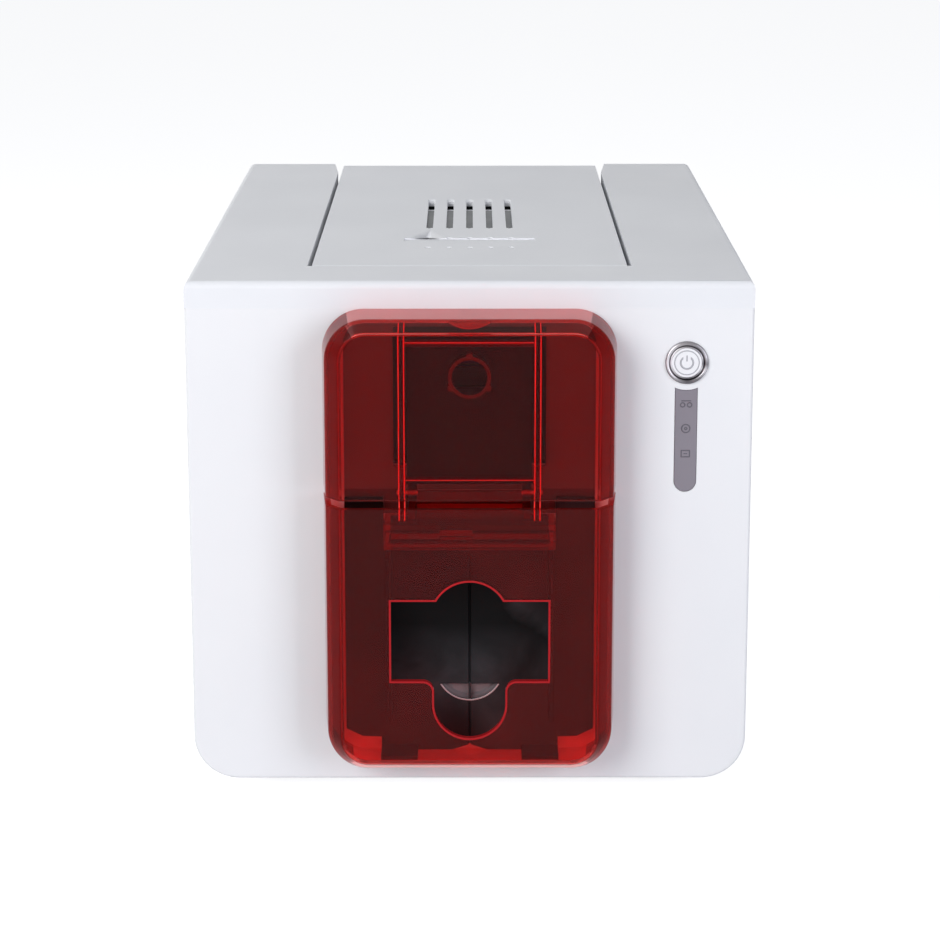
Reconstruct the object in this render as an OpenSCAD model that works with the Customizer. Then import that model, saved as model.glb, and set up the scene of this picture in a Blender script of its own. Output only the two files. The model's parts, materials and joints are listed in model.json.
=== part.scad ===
// Desktop printer for plastic identity cards, with a hinged service lid,
// a see-through feeder door and a see-through output hopper on the front.
// Millimetres. X is to the right, the front faces -Y, Z is up, Z = 0 is the desk.

/* [Body] */
// Width of the casing
body_width = 205; // [195:1:225]
// Depth of the casing without the front hopper
body_depth = 287; // [280:1:310]
// Height from the desk to the lid
body_height = 195; // [192:0.5:205]
// Height of the rubber feet
foot_height = 6; // [4:0.5:8]
// Thickness of the casing walls
wall = 2.5; // [2:0.1:3]
// Radius of the two bottom corners, seen from the front
bottom_radius = 16.5; // [12:0.5:20]
// Radius of the top edges
top_radius = 3; // [2:0.5:4]

/* [Lid] */
// Width of the lid panel
lid_width = 116.4; // [112:0.2:124]
// Depth of the casing strip in front of the lid
lid_front_strip = 30; // [26:1:34]
// Gap along the sides of the lid
lid_gap = 1.7; // [1:0.1:2.5]
// Number of vent slots
vent_count = 5; // [3:1:7]
// Distance between the vent slots
vent_pitch = 8; // [6:0.5:9]
// Length of an open vent slot
vent_length = 70; // [40:1:72]

/* [Front hopper] */
// How far the door and the hopper stand out from the casing
cover_reach = 23; // [22:0.5:26]
// Width of both covers at their root
cover_width = 106.4; // [104:0.2:110]
// Wall thickness of the clear covers
cover_wall = 2.2; // [1.8:0.1:2.6]
// Highest edge of the feeder door
cover_top = 185; // [183:0.5:186]
// Lowest edge of the output hopper
cover_bottom = 16.4; // [15:0.2:20]
// Height of the gap between door and hopper
cover_gap = 3; // [2.6:0.1:3.6]
// Radius of the outer corners of the covers
cover_radius = 14.3; // [12:0.1:16]
// Width of the bevel round the flat face
cover_bevel = 5; // [4:0.1:6]

/* [Cards] */
// Width of a card
card_width = 54; // [50:0.5:55]
// Length of a card
card_length = 85.6; // [80:0.1:86]
// Free room on each side of a card
card_side_gap = 0.7; // [0.4:0.1:1]
// Height of the print path above the desk
path_height = 104; // [102:0.5:105]

/* [Hidden] */
$fn = 64;
eps = 0.01;
run_gap = 0.05;    // radial clearance of a turning shaft or pin
slide_gap = 0.3;   // clearance beside a sliding piece

// Casing
front_y = -(body_depth + cover_reach) / 2;      // face of the covers
panel_y = front_y + cover_reach;                // face of the front fascia
rear_y = panel_y + body_depth;
fascia_wall = 3;
floor_z = foot_height + wall;
tray_top = 45;
fascia_top = body_height - 10;
half_w = body_width / 2;

// Lid and its hinge
lid_half = lid_width / 2;
lid_wall = 2.5;
knuckle_r = 6;
hinge_y = rear_y - knuckle_r;
hinge_z = body_height - knuckle_r;
knuckle_end = 50;                               // degrees below the horizontal
hinge_pin_r = 1.5;
lid_y = panel_y + lid_front_strip;
lid_under = body_height - lid_wall;
opening_half = lid_half + lid_gap;
flare = 2.8;
flare_length = 26;

// Chassis
plate_in = half_w - 52.5;
plate_wall = 2;
plate_out = plate_in + plate_wall;
chassis_front = panel_y + 14;
chassis_rear = rear_y - 5;

// Rollers: [y, radius], with the print path above them
shaft_r = 3;
bush_r = 5;
roller_half = card_width / 2;
front_roller = [panel_y + 22, 6];
platen = [40, 7];
rear_roller = [95, 6];
feeder_floor = path_height + 24;
pickup = [-75, 8];
roller_peep = 0.2;                              // rollers stand this far above the guide
function roller_z(r) = path_height + roller_peep - r;
pickup_z = feeder_floor + roller_peep - pickup[1];
pulley_r = 7;
pulley_flange = 0.8;
flange_r = 8.8;
belt_wall = 1.4;
belt_gap = 0.15;
belt_width = 5;
plate_top = body_height - 30;
plate_shoulder = feeder_floor + 22;
track_x = [for (i = [0 : 3]) plate_out + 2.8 + 7.6 * i]; // left face of each belt
motor_at = [5, 60];
motor_side = 42;
motor_length = 30;

cleaning_r = 5.8;
cleaning_at = [-94, path_height + cleaning_r + 1.5];

// Ribbon
spool_half = 29;
supply_at = [85, path_height + 38];
takeup_at = [-15, path_height + 42];
supply_r = 12;
takeup_r = 8;
spool_core_r = 6;
journal_r = 2.5;
cassette_in = 32.5;
cassette_wall = 2;
bar_r = 1.5;
bar_rear = [68, path_height + 6];
bar_front = [2, path_height + 6];
film_wall = 0.3;
film_low = path_height + 1;

// Print head
head_y = platen[0];
head_half = 31;
head_z = path_height + 1.7;
head_travel = 1.5;
post_r = 2;
post_x = 20;
head_top = head_z + 2.6;
carrier_top = head_top + 11;
bridge_z = carrier_top + 6;
arm_in = 36;
arm_wall = 3;

// Feeder
feeder_in = card_width / 2 + card_side_gap;
feeder_wall = 2.5;
feeder_out = feeder_in + feeder_wall;
feeder_rear = panel_y + 4 + card_length;
feeder_top = fascia_top - 7;
slider_z = feeder_floor + 15;                    // foot of the slider's slot
slider_slot = 3;
slider_travel = 10;

// Front hopper and door
cover_mid = feeder_floor - 8.3;                 // lower edge of the door
hopper_top = cover_mid - cover_gap;
rim_y = front_y + 6;
cover_half = cover_width / 2;
cover_draft = 1.6;
pivot_y = front_y + 4.5;
pivot_z = cover_mid + 2.3;
door_pin_r = 1;
ear_r = 2.2;
arm_out = 25.4;
arm_thick = 2.4;
window_half = feeder_in + 1.8;
slot_half = card_width / 2 + 1.6;
slot_low = path_height - 1.3;
slot_high = path_height + 2;
slot_block_half = 31;
pad_z = cover_top - 21.2;
clip_x = cover_half - 4.2;
clip_z = [cover_bottom + 23.6, hopper_top - 26.7];

// Button and status lens
button_x = half_w - 24.2;
button_z = fascia_top - 19.9;
ring_r = 7.85;
ring_seat_r = 7.3;
button_r = 6.2;
button_travel = 0.8;
board_back = 11;                                // panel board behind the fascia's face
switch_height = 3.5;
stem_end = panel_y + board_back - switch_height - slide_gap - button_travel;
lens_half = 4.05;
lens_low = button_z - 48.2;
lens_gap_r = 10.3;

// Rear connectors: [x, z]
board_x = 26.5 - half_w;
usb_at = [board_x + 9, 84];
network_at = [board_x + 10, 56];
jack_at = [board_x + 9, 30];
fan_at = [board_x + 3, body_height - 49];
fan_side = 40;
fan_depth = 10;
fan_front = rear_y - 3 - fan_depth;

shell_grey = "#c9cdd1";
fascia_white = "#f4f4f6";
black = "#202022";
clear_red = "#8f1b1f";
steel = "#9aa0a6";
rubber = "#3a3a3c";

// ---------------------------------------------------------------- helpers

// A block given by its lowest and highest corners
module span(low, high) {
    translate(low) cube(high - low);
}

// A cylinder along X between two x values
module rod(x0, x1, y, z, r) {
    translate([x0, y, z]) rotate([0, 90, 0]) cylinder(r = r, h = x1 - x0);
}

// A cylinder along Y between two y values
module peg(x, z, y0, y1, r) {
    translate([x, y0, z]) rotate([-90, 0, 0]) cylinder(r = r, h = y1 - y0);
}

// Stands an X-Z outline up and runs it along Y
module along_y(y0, y1) {
    translate([0, y1, 0]) rotate([90, 0, 0]) linear_extrude(height = y1 - y0) children();
}

// Stands a Y-Z outline up and runs it along X
module along_x(x0, x1) {
    translate([x0, 0, 0]) rotate([90, 0, 90]) linear_extrude(height = x1 - x0) children();
}

module both_sides() {
    children();
    mirror([1, 0, 0]) children();
}

// The casing's outline seen from the front, drawn in by a distance
module body_outline(inset) {
    low = foot_height + inset;
    high = body_height - inset;
    side = half_w - inset;
    r1 = bottom_radius - inset;
    r2 = max(top_radius - inset, 0.5);
    translate([-side, low + r1]) square([2 * side, high - r2 - low - r1]);
    translate([-side + r1, low]) square([2 * (side - r1), 2 * r1]);
    translate([-side + r2, high - 2 * r2]) square([2 * (side - r2), 2 * r2]);
    for (s = [-1, 1]) {
        translate([s * (side - r1), low + r1]) circle(r = r1);
        translate([s * (side - r2), high - r2]) circle(r = r2);
    }
}

module box_ring(y0, y1, z0, z1) {
    intersection() {
        along_y(y0, y1) difference() {
            body_outline(0);
            body_outline(wall);
        }
        span([-half_w - 1, y0 - 1, z0], [half_w + 1, y1 + 1, z1]);
    }
}

screw_y = [panel_y + 44, rear_y - 43];
screw_x = half_w - 18.5;
foot_y = [panel_y + 27, rear_y - 25];
foot_x = half_w - 28.5;

// ---------------------------------------------------------------- casing

module base_tray() {
    color(shell_grey) difference() {
        union() {
            box_ring(panel_y + fascia_wall, rear_y, foot_height - 1, tray_top);
            for (y = screw_y) both_sides() translate([screw_x, y, floor_z - eps])
                cylinder(r = 5, h = 4);
            for (x = [board_x - 3.9, board_x + 0.3])
                span([x, -55, floor_z - eps], [x + 2, rear_y - 12, floor_z + 8]);
        }
        for (y = screw_y) both_sides() translate([screw_x, y, foot_height - 1]) {
            cylinder(r = 1.8, h = 12);
            cylinder(r = 3.3, h = 3);
        }
        for (y = foot_y) both_sides() translate([foot_x, y, foot_height - 1]) cylinder(r = 3, h = 5);
        for (y = [-70 : 8 : 98]) both_sides() span([12, y, foot_height - 1], [34, y + 3, floor_z + 1]);
        for (y = [chassis_front + 12, chassis_rear - 16]) both_sides()
            translate([plate_in - 5, y, foot_height - 1]) cylinder(r = 1.5, h = 5);
    }
}

module lid_opening(z0, z1) {
    translate([0, 0, z0]) linear_extrude(height = z1 - z0) polygon([
        [-opening_half, lid_y - 0.5], [opening_half, lid_y - 0.5],
        [opening_half, rear_y - flare_length], [opening_half + flare, rear_y + 1],
        [-opening_half - flare, rear_y + 1], [-opening_half, rear_y - flare_length]
    ]);
}

module upper_casing() {
    flange = 2;
    color(shell_grey) difference() {
        union() {
            box_ring(panel_y + fascia_wall, rear_y, tray_top, body_height + 1);
            intersection() {
                along_y(panel_y, panel_y + fascia_wall + eps) body_outline(0);
                span([-half_w, panel_y - 1, fascia_top], [half_w, panel_y + 5, body_height + 1]);
            }
            both_sides() span([opening_half, lid_y - 0.5 - flange, lid_under - 9],
                [opening_half + flange, rear_y - flare_length - 1, lid_under + 1]);
            span([-opening_half - flange, lid_y - 0.5 - flange, lid_under - 9],
                [opening_half + flange, lid_y - 0.5, lid_under + 1]);
            for (y = screw_y) both_sides() {
                translate([screw_x, y, floor_z + 4]) cylinder(r = 4, h = 60);
                span([screw_x, y - 1, tray_top + 1], [half_w - wall + eps, y + 1, floor_z + 64]);
            }
        }
        lid_opening(lid_under - 20, body_height + 2);
        for (y = screw_y) both_sides() translate([screw_x, y, floor_z]) cylinder(r = 1.5, h = 20);
        // rounds the front top edge
        difference() {
            span([-half_w - 1, panel_y - 1, body_height - top_radius],
                [half_w + 1, panel_y + top_radius, body_height + 1]);
            rod(-half_w - 2, half_w + 2, panel_y + top_radius, body_height - top_radius, top_radius);
        }
    }
}

module lens_outline(grow) {
    r = lens_half + grow;
    difference() {
        union() {
            translate([button_x, lens_low + lens_half]) circle(r = r);
            translate([button_x - r, lens_low + lens_half])
                square([2 * r, button_z - lens_low - lens_half]);
        }
        translate([button_x, button_z]) circle(r = lens_gap_r - grow);
    }
}

module front_fascia() {
    color(fascia_white) difference() {
        union() {
            intersection() {
                along_y(panel_y, panel_y + fascia_wall) body_outline(0);
                span([-half_w - 1, panel_y - 1, 0], [half_w + 1, panel_y + 5, fascia_top]);
            }
            peg(button_x, button_z, panel_y + 2, panel_y + 5.5, 9);
            for (x = [button_x - 9.5, button_x + 9.5], z = [lens_low - 2.9, feeder_top])
                peg(x, z, panel_y + 2, panel_y + board_back, 2.2);
        }
        span([-window_half, panel_y - 1, feeder_floor - 1], [window_half, panel_y + 4, feeder_top]);
        span([-slot_half, panel_y - 1, slot_low - 1], [slot_half, panel_y + 4, slot_high + 2]);
        peg(button_x, button_z, panel_y - 1, panel_y + 6, ring_seat_r);
        along_y(panel_y - 1, panel_y + 4) lens_outline(0.1);
        for (z = clip_z) both_sides()
            span([clip_x - 0.1, panel_y - 1, z - 4.1], [clip_x + 2.5, panel_y + 4, z + 4.1]);
    }
}

module rear_panel() {
    y0 = rear_y - 3;
    y1 = rear_y - 0.5;
    color(shell_grey) difference() {
        along_y(y0, y1) body_outline(wall);
        difference() {
            span([-opening_half - flare, y0 - 1, hinge_z - knuckle_r - 0.5],
                [opening_half + flare, y1 + 1, body_height]);
            span([-opening_half - flare - 1, y0 - 2, 0],
                [opening_half + flare + 1, y1 + 2, hinge_z - knuckle_r]);
        }
        rod(-opening_half - flare, opening_half + flare, hinge_y, hinge_z, knuckle_r + 0.5);
        span([usb_at[0] - 6.1, y0 - 1, usb_at[1] - 5.6], [usb_at[0] + 6.1, y1 + 1, usb_at[1] + 5.6]);
        span([network_at[0] - 8.1, y0 - 1, network_at[1] - 6.9],
            [network_at[0] + 8.1, y1 + 1, network_at[1] + 6.9]);
        peg(jack_at[0], jack_at[1], y0 - 1, y1 + 1, 5);
        for (i = [-3 : 3]) let (h = sqrt(17 * 17 - 25 * i * i))
            span([fan_at[0] + 5 * i - 1.2, y0 - 1, fan_at[1] - h],
                [fan_at[0] + 5 * i + 1.2, y1 + 1, fan_at[1] + h]);
        for (i = [0 : 8]) span([50 + 4.5 * i, y0 - 1, body_height - 75],
            [52 + 4.5 * i, y1 + 1, body_height - 45]);
        span([72, y0 - 1, 60], [79, y1 + 1, 63]);
    }
}

module feet() {
    color(rubber) for (y = foot_y) both_sides() translate([foot_x, y, 0]) {
        cylinder(r = 8, h = foot_height);
        cylinder(r = 3, h = floor_z);
    }
}

module casing_screws() {
    color(steel) for (y = screw_y) both_sides() translate([screw_x, y, 0]) difference() {
        union() {
            translate([0, 0, foot_height + 0.2]) cylinder(r = 3, h = 1.8);
            translate([0, 0, foot_height + 1]) cylinder(r = 1.5, h = 17);
        }
        translate([0, 0, foot_height]) cylinder(r = 1.4, h = 1.2, $fn = 6);
    }
}

// ---------------------------------------------------------------- chassis

module plate_outline() {
    polygon([
        [chassis_front, floor_z], [chassis_front, plate_shoulder], [-40, plate_shoulder],
        [-20, plate_top], [128, plate_top],
        [hinge_y - 3.1, hinge_z - 0.4], [hinge_y, hinge_z - 3.2], [hinge_y - 0.8, plate_top],
        [chassis_rear, plate_top - 5], [chassis_rear, floor_z]
    ]);
    translate([hinge_y, hinge_z]) circle(r = 3.2);
}

module shaft_bores(x0, x1, r) {
    rod(x0, x1, front_roller[0], roller_z(front_roller[1]), r);
    rod(x0, x1, platen[0], roller_z(platen[1]), r);
    rod(x0, x1, rear_roller[0], roller_z(rear_roller[1]), r);
    rod(x0, x1, pickup[0], pickup_z, r);
}

module chassis_plate() {
    difference() {
        union() {
            along_x(plate_in, plate_out) plate_outline();
            span([plate_in - 10, chassis_front, floor_z], [plate_in + eps, chassis_rear, floor_z + 2]);
        }
        shaft_bores(plate_in - 1, plate_out + 1, bush_r);
        rod(plate_in - 1, plate_out + 1, hinge_y, hinge_z, hinge_pin_r);
        for (y = [-60, 70]) rod(plate_in - 1, plate_out + 1, y, 60, 14);
        for (y = [chassis_front + 12, chassis_rear - 16])
            translate([plate_in - 5, y, floor_z - 1]) cylinder(r = 1.5, h = 5);
        rod(plate_in - 1, plate_out + 1, cleaning_at[0], cleaning_at[1], journal_r + run_gap);
    }
}

module chassis_left() {
    color(steel) mirror([1, 0, 0]) chassis_plate();
}

module chassis_right() {
    color(steel) difference() {
        chassis_plate();
        rod(plate_in - 1, plate_out + 1, motor_at[0], motor_at[1], 11);
    }
}

module chassis_ties() {
    color(steel) for (p = [[chassis_front + 8, 30], [120, 30], [110, plate_top - 10]])
        rod(-plate_in, plate_in, p[0], p[1], 3);
}

module chassis_screws() {
    color(steel) for (y = [chassis_front + 12, chassis_rear - 16]) both_sides()
        translate([plate_in - 5, y, 0]) {
            translate([0, 0, floor_z + 2]) cylinder(r = 2.75, h = 2);
            translate([0, 0, foot_height + 0.5]) cylinder(r = 1.5, h = 5);
        }
}

module hinge_pins() {
    color(steel) both_sides() rod(plate_in - 1, plate_out + 5.5, hinge_y, hinge_z, hinge_pin_r);
}

module card_guide() {
    color(black) difference() {
        span([-plate_in, panel_y + 4, path_height - 4], [plate_in, 125, path_height]);
        for (p = [front_roller, platen, rear_roller])
            span([-roller_half - 2, p[0] - p[1] - 0.6, path_height - 5],
                [roller_half + 2, p[0] + p[1] + 0.6, path_height + 1]);
        // troughs for the shafts beyond the rubber
        for (p = [front_roller, platen, rear_roller])
            span([-plate_in - 1, p[0] - bush_r - 0.4, path_height - 5],
                [plate_in + 1, p[0] + bush_r + 0.4, path_height - 0.6]);
        span([-4, -20, path_height - 5], [4, -12, path_height + 1]);
    }
}

module bushings() {
    color("#b08d57") difference() {
        both_sides() {
            shaft_bores(plate_in - 0.5, plate_out, bush_r);
            shaft_bores(plate_out, plate_out + 1, bush_r + 1.2);
        }
        both_sides() shaft_bores(plate_in - 1, plate_out + 2, shaft_r + run_gap);
    }
}

// ---------------------------------------------------------------- drive

module drive_motor() {
    y = motor_at[0];
    z = motor_at[1];
    half = motor_side / 2;
    color("#3c3f44") difference() {
        union() {
            span([plate_in - motor_length, y - half, z - half], [plate_in, y + half, z + half]);
            rod(plate_in - 1, plate_in + 1.9, y, z, 10.9);
        }
        rod(plate_in - 12, plate_in + 3, y, z, 2.5 + run_gap);
        for (a = [-1, 1], b = [-1, 1])
            translate([0, y + a * half, z + b * half]) rotate([45, 0, 0])
                span([plate_in - motor_length - 1, -2.5, -2.5], [plate_in + 1, 2.5, 2.5]);
    }
}

module pulley(x, y, z, bore) {
    difference() {
        union() {
            rod(x - pulley_flange - 0.2, x + belt_width + 0.2 + pulley_flange, y, z, pulley_r);
            rod(x - pulley_flange - 0.2, x - 0.2, y, z, flange_r);
            rod(x + belt_width + 0.2, x + belt_width + 0.2 + pulley_flange, y, z, flange_r);
        }
        rod(x - 2, x + belt_width + 2, y, z, bore);
    }
}

module motor_pulley() {
    color(steel) {
        pulley(track_x[0], motor_at[0], motor_at[1], 2.4);
        rod(plate_in - 11, track_x[0] + belt_width + 2, motor_at[0], motor_at[1], 2.5);
    }
}

// A belt round two equal pulleys, as a flat loop
module belt(x, a, b) {
    run = norm(b - a);
    lean = atan2(b[1] - a[1], b[0] - a[0]);
    r = pulley_r + belt_gap;
    along_x(x, x + belt_width) translate(a) rotate(lean) difference() {
        union() {
            circle(r = r + belt_wall);
            translate([run, 0]) circle(r = r + belt_wall);
            translate([0, -r - belt_wall]) square([run, 2 * (r + belt_wall)]);
        }
        circle(r = r);
        translate([run, 0]) circle(r = r);
        translate([0, -r]) square([run, 2 * r]);
    }
}

function axle(p) = [p[0], roller_z(p[1])];

module drive_belts() {
    color(rubber) {
        belt(track_x[0], motor_at, axle(platen));
        belt(track_x[1], axle(platen), axle(rear_roller));
        belt(track_x[2], axle(front_roller), axle(platen));
        belt(track_x[3], axle(front_roller), [pickup[0], pickup_z]);
    }
}

// A steel shaft from the left plate to the last belt that it carries
module shaft(y, z, tracks) {
    color(steel) rod(-plate_out - 2.5, track_x[tracks - 1] + belt_width + 2, y, z, shaft_r);
}

module rubber_roller(y, z, r) {
    color(rubber) difference() {
        rod(-roller_half, roller_half, y, z, r);
        rod(-roller_half - 1, roller_half + 1, y, z, shaft_r);
    }
}

module front_roller_shaft() { shaft(front_roller[0], roller_z(front_roller[1]), 4); }
module platen_shaft() { shaft(platen[0], roller_z(platen[1]), 3); }
module rear_roller_shaft() { shaft(rear_roller[0], roller_z(rear_roller[1]), 2); }
module pickup_shaft() { shaft(pickup[0], pickup_z, 4); }

module front_roller_rubber() { rubber_roller(front_roller[0], roller_z(front_roller[1]), front_roller[1]); }
module platen_rubber() { rubber_roller(platen[0], roller_z(platen[1]), platen[1]); }
module rear_roller_rubber() { rubber_roller(rear_roller[0], roller_z(rear_roller[1]), rear_roller[1]); }

module pickup_rubber() {
    color(rubber) for (x = [-14, 4]) difference() {
        rod(x, x + 10, pickup[0], pickup_z, pickup[1]);
        rod(x - 1, x + 11, pickup[0], pickup_z, shaft_r);
    }
}

module front_roller_pulleys() {
    color(black) for (t = [2, 3])
        pulley(track_x[t], front_roller[0], roller_z(front_roller[1]), shaft_r);
}

module platen_pulleys() {
    color(black) for (t = [0, 1, 2]) pulley(track_x[t], platen[0], roller_z(platen[1]), shaft_r);
}

module rear_roller_pulley() {
    color(black) pulley(track_x[1], rear_roller[0], roller_z(rear_roller[1]), shaft_r);
}

module pickup_pulley() {
    color(black) pulley(track_x[3], pickup[0], pickup_z, shaft_r);
}

module cleaning_roller() {
    color("#6fa8dc") {
        rod(-roller_half, roller_half, cleaning_at[0], cleaning_at[1], cleaning_r);
        rod(-plate_out - 1.5, plate_out + 1.5, cleaning_at[0], cleaning_at[1], journal_r);
    }
}

// ---------------------------------------------------------------- feeder

module feeder_box() {
    y0 = panel_y + fascia_wall + 0.3;
    y1 = feeder_rear + feeder_wall;
    color(black) difference() {
        union() {
            span([-feeder_out, y0, feeder_floor - feeder_wall], [feeder_out, y1, feeder_top - 1]);
            both_sides() span([feeder_out - 1, chassis_front + 2, feeder_floor + 10],
                [plate_in, y1 - 10, feeder_floor + 13]);
        }
        span([-feeder_in, y0 - 1, feeder_floor], [feeder_in, feeder_rear, feeder_top]);
        span([-feeder_in, feeder_rear - 1, feeder_floor], [feeder_in, y1 + 1, feeder_floor + 1.4]);
        span([-16, pickup[0] - pickup[1] - 0.6, feeder_floor - 5],
            [16, pickup[0] + pickup[1] + 0.6, feeder_floor + 1]);
        span([-3 - slider_travel, feeder_rear - 1, slider_z],
            [3 + slider_travel, y1 + 1, slider_z + slider_slot]);
    }
}

module gauge_slider() {
    y1 = feeder_rear + feeder_wall;
    color("#d8d8da") {
        span([-3 - slider_travel + slide_gap, feeder_rear + 0.5, slider_z + slide_gap],
            [3 - slider_travel + slide_gap, y1 + 1, slider_z + slider_slot - slide_gap]);
        span([-5 - slider_travel, y1 + 0.3, slider_z - 4], [5 - slider_travel, y1 + 2.5, slider_z + 7]);
        span([-1 - slider_travel, y1 + 2, slider_z - 2], [1 - slider_travel, y1 + 5, slider_z + 5]);
    }
}

module feed_ramp() {
    y0 = feeder_rear + feeder_wall;
    half = cassette_in - 1.5;
    color(black) difference() {
        union() {
            along_x(-half, half) polygon([
                [y0, feeder_floor - 2.5], [y0 + 27, path_height + 1.2], [y0 + 30, path_height + 1.2],
                [y0 + 30, path_height + 2.2], [y0 + 3, feeder_floor - 0.5], [y0, feeder_floor - 0.5]
            ]);
            span([-plate_in, y0, feeder_floor - 4], [plate_in, y0 + 3, feeder_floor - 0.5]);
        }
        for (x = [-22, 0, 22]) span([x - 6, y0 + 6, path_height], [x + 6, y0 + 20, feeder_floor]);
    }
}

// ---------------------------------------------------------------- ribbon

module ribbon_cassette() {
    low = path_height;
    module cheek() {
        difference() {
            union() {
                span([cassette_in, takeup_at[0] - 16, low],
                    [cassette_in + cassette_wall, takeup_at[0] + 18, takeup_at[1] + 14]);
                span([cassette_in, supply_at[0] - 18, low],
                    [cassette_in + cassette_wall, supply_at[0] + 18, supply_at[1] + 14]);
                span([cassette_in, takeup_at[0], low],
                    [cassette_in + cassette_wall, supply_at[0], low + 6]);
                span([cassette_in, supply_at[0] + 12, low],
                    [plate_in, supply_at[0] + 16, low + 4]);
            }
            for (p = [supply_at, takeup_at])
                rod(cassette_in - 1, cassette_in + cassette_wall + 1, p[0], p[1], journal_r + run_gap);
            // clears the flat of the print path rollers' troughs
            rod(cassette_in - 1, cassette_in + cassette_wall + 1, takeup_at[0], low + 16, 6);
            rod(cassette_in - 1, cassette_in + cassette_wall + 1, supply_at[0], low + 16, 6);
        }
    }
    color(black) {
        both_sides() cheek();
        for (p = [bar_rear, bar_front]) rod(-cassette_in - 0.5, cassette_in + 0.5, p[0], p[1], bar_r);
        span([-cassette_in - 0.5, supply_at[0] + 14, low + 30],
            [cassette_in + 0.5, supply_at[0] + 17, low + 50]);
        span([-cassette_in - 0.5, takeup_at[0] - 15.5, takeup_at[1] + 4],
            [cassette_in + 0.5, takeup_at[0] - 13, takeup_at[1] + 13]);
    }
}

module spool(at, roll_r, flange) {
    rod(-spool_half - 1.5, spool_half + 1.5, at[0], at[1], spool_core_r);
    rod(-spool_half, spool_half, at[0], at[1], roll_r);
    for (s = [-1, 1]) rod(s * (spool_half + 0.75) - 0.75, s * (spool_half + 0.75) + 0.75,
        at[0], at[1], flange);
    rod(-cassette_in - cassette_wall - 1.5, cassette_in + cassette_wall + 1.5, at[0], at[1], journal_r);
}

module supply_spool() { color("#3b3b78") spool(supply_at, supply_r, supply_r + 2); }
module takeup_spool() { color("#3b3b78") spool(takeup_at, takeup_r, takeup_r + 4); }

// The ribbon between the spools, round both guide bars and under the head.
// Each point is [y, z] with the side on which the sheet's thickness lies.
module ribbon_film() {
    t = film_wall;
    clear = 0.4;
    under = bar_r + 0.6;
    route = [
        [[supply_at[0] - supply_r - clear, supply_at[1]], [-t, 0]],
        [[bar_rear[0] + bar_r + 0.9, bar_rear[1]], [-t, 0]],
        [[bar_rear[0] + 0.6, bar_rear[1] - under], [0, t]],
        [[head_y + 8, film_low], [0, t]],
        [[head_y - 8, film_low], [0, t]],
        [[bar_front[0] - 0.6, bar_front[1] - under], [0, t]],
        [[bar_front[0] - bar_r - 0.7, bar_front[1] - 0.4], [t, 0]],
        [[takeup_at[0] + takeup_r + clear, takeup_at[1]], [t, 0]]
    ];
    last = len(route) - 1;
    color("#5b2a6b") along_x(-spool_half + 0.5, spool_half - 0.5) polygon(concat(
        [for (i = [0 : last]) route[i][0] + route[i][1]],
        [for (i = [last : -1 : 0]) route[i][0]]
    ));
}

// ---------------------------------------------------------------- electronics

module main_board() {
    x0 = board_x - 1.6;
    color("#2f6b45") span([x0, -60, floor_z + 1.5], [board_x, rear_y - 5, fan_at[1] - 24]);
    color("#4a4a4c") {
        span([board_x, -10, 60], [board_x + 3, 18, 88]);
        span([board_x, 40, 70], [board_x + 2, 58, 84]);
        span([board_x, -50, 30], [board_x + 10, -20, 40]);
        span([board_x, 20, 100], [board_x + 8, 60, 106]);
        for (y = [70, 84, 98]) translate([board_x, y, 28]) rotate([0, 90, 0]) cylinder(r = 5, h = 14);
    }
}

module socket_shell(at, half_x, half_z, lip, depth) {
    y1 = rear_y - 0.5;
    difference() {
        span([at[0] - half_x, y1 - depth, at[1] - half_z], [at[0] + half_x, y1, at[1] + half_z]);
        span([at[0] - half_x + lip, y1 - depth + 2, at[1] - half_z + lip],
            [at[0] + half_x - lip, y1 + 1, at[1] + half_z - lip]);
    }
}

module usb_socket() {
    color(steel) socket_shell(usb_at, 6, 5.5, 1, 16);
    color(black) span([usb_at[0] - 2.8, rear_y - 15, usb_at[1] - 1.6],
        [usb_at[0] + 2.8, rear_y - 6, usb_at[1] + 1.6]);
    color(steel) span([board_x, rear_y - 16, usb_at[1] - 4], [usb_at[0] - 5.9, rear_y - 6, usb_at[1] + 4]);
}

module network_socket() {
    color(steel) socket_shell(network_at, 8, 6.8, 1.6, 20);
    color(steel) span([board_x, rear_y - 19, network_at[1] - 5],
        [network_at[0] - 7.9, rear_y - 6, network_at[1] + 5]);
}

module power_jack() {
    y1 = rear_y - 0.5;
    color(black) difference() {
        union() {
            peg(jack_at[0], jack_at[1], y1 - 4, y1, 5);
            span([board_x, y1 - 16, jack_at[1] - 5.5], [jack_at[0] + 5.5, y1 - 3, jack_at[1] + 5.5]);
        }
        peg(jack_at[0], jack_at[1], y1 - 13, y1 + 1, 3.2);
    }
    color(steel) peg(jack_at[0], jack_at[1], y1 - 13.1, y1 - 2, 1);
}

module fan_frame() {
    half = fan_side / 2;
    y0 = fan_front;
    y1 = y0 + fan_depth;
    x = fan_at[0];
    z = fan_at[1];
    color(black) {
        difference() {
            span([x - half, y0, z - half], [x + half, y1, z + half]);
            peg(x, z, y0 - 1, y1 + 1, 19);
            for (a = [-16, 16], b = [-16, 16]) peg(x + a, z + b, y0 - 1, y1 + 1, 1.6);
        }
        peg(x, z, y0, y0 + 1.4, 10);
        difference() {
            union() {
                span([x - 19.5, y0, z - 1.2], [x + 19.5, y0 + 1.4, z + 1.2]);
                span([x - 1.2, y0, z - 19.5], [x + 1.2, y0 + 1.4, z + 19.5]);
            }
            peg(x, z, y0 - 1, y0 + 2, 9);
        }
        peg(x, z, y0, y0 + 7, 1.5);
    }
}

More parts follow.
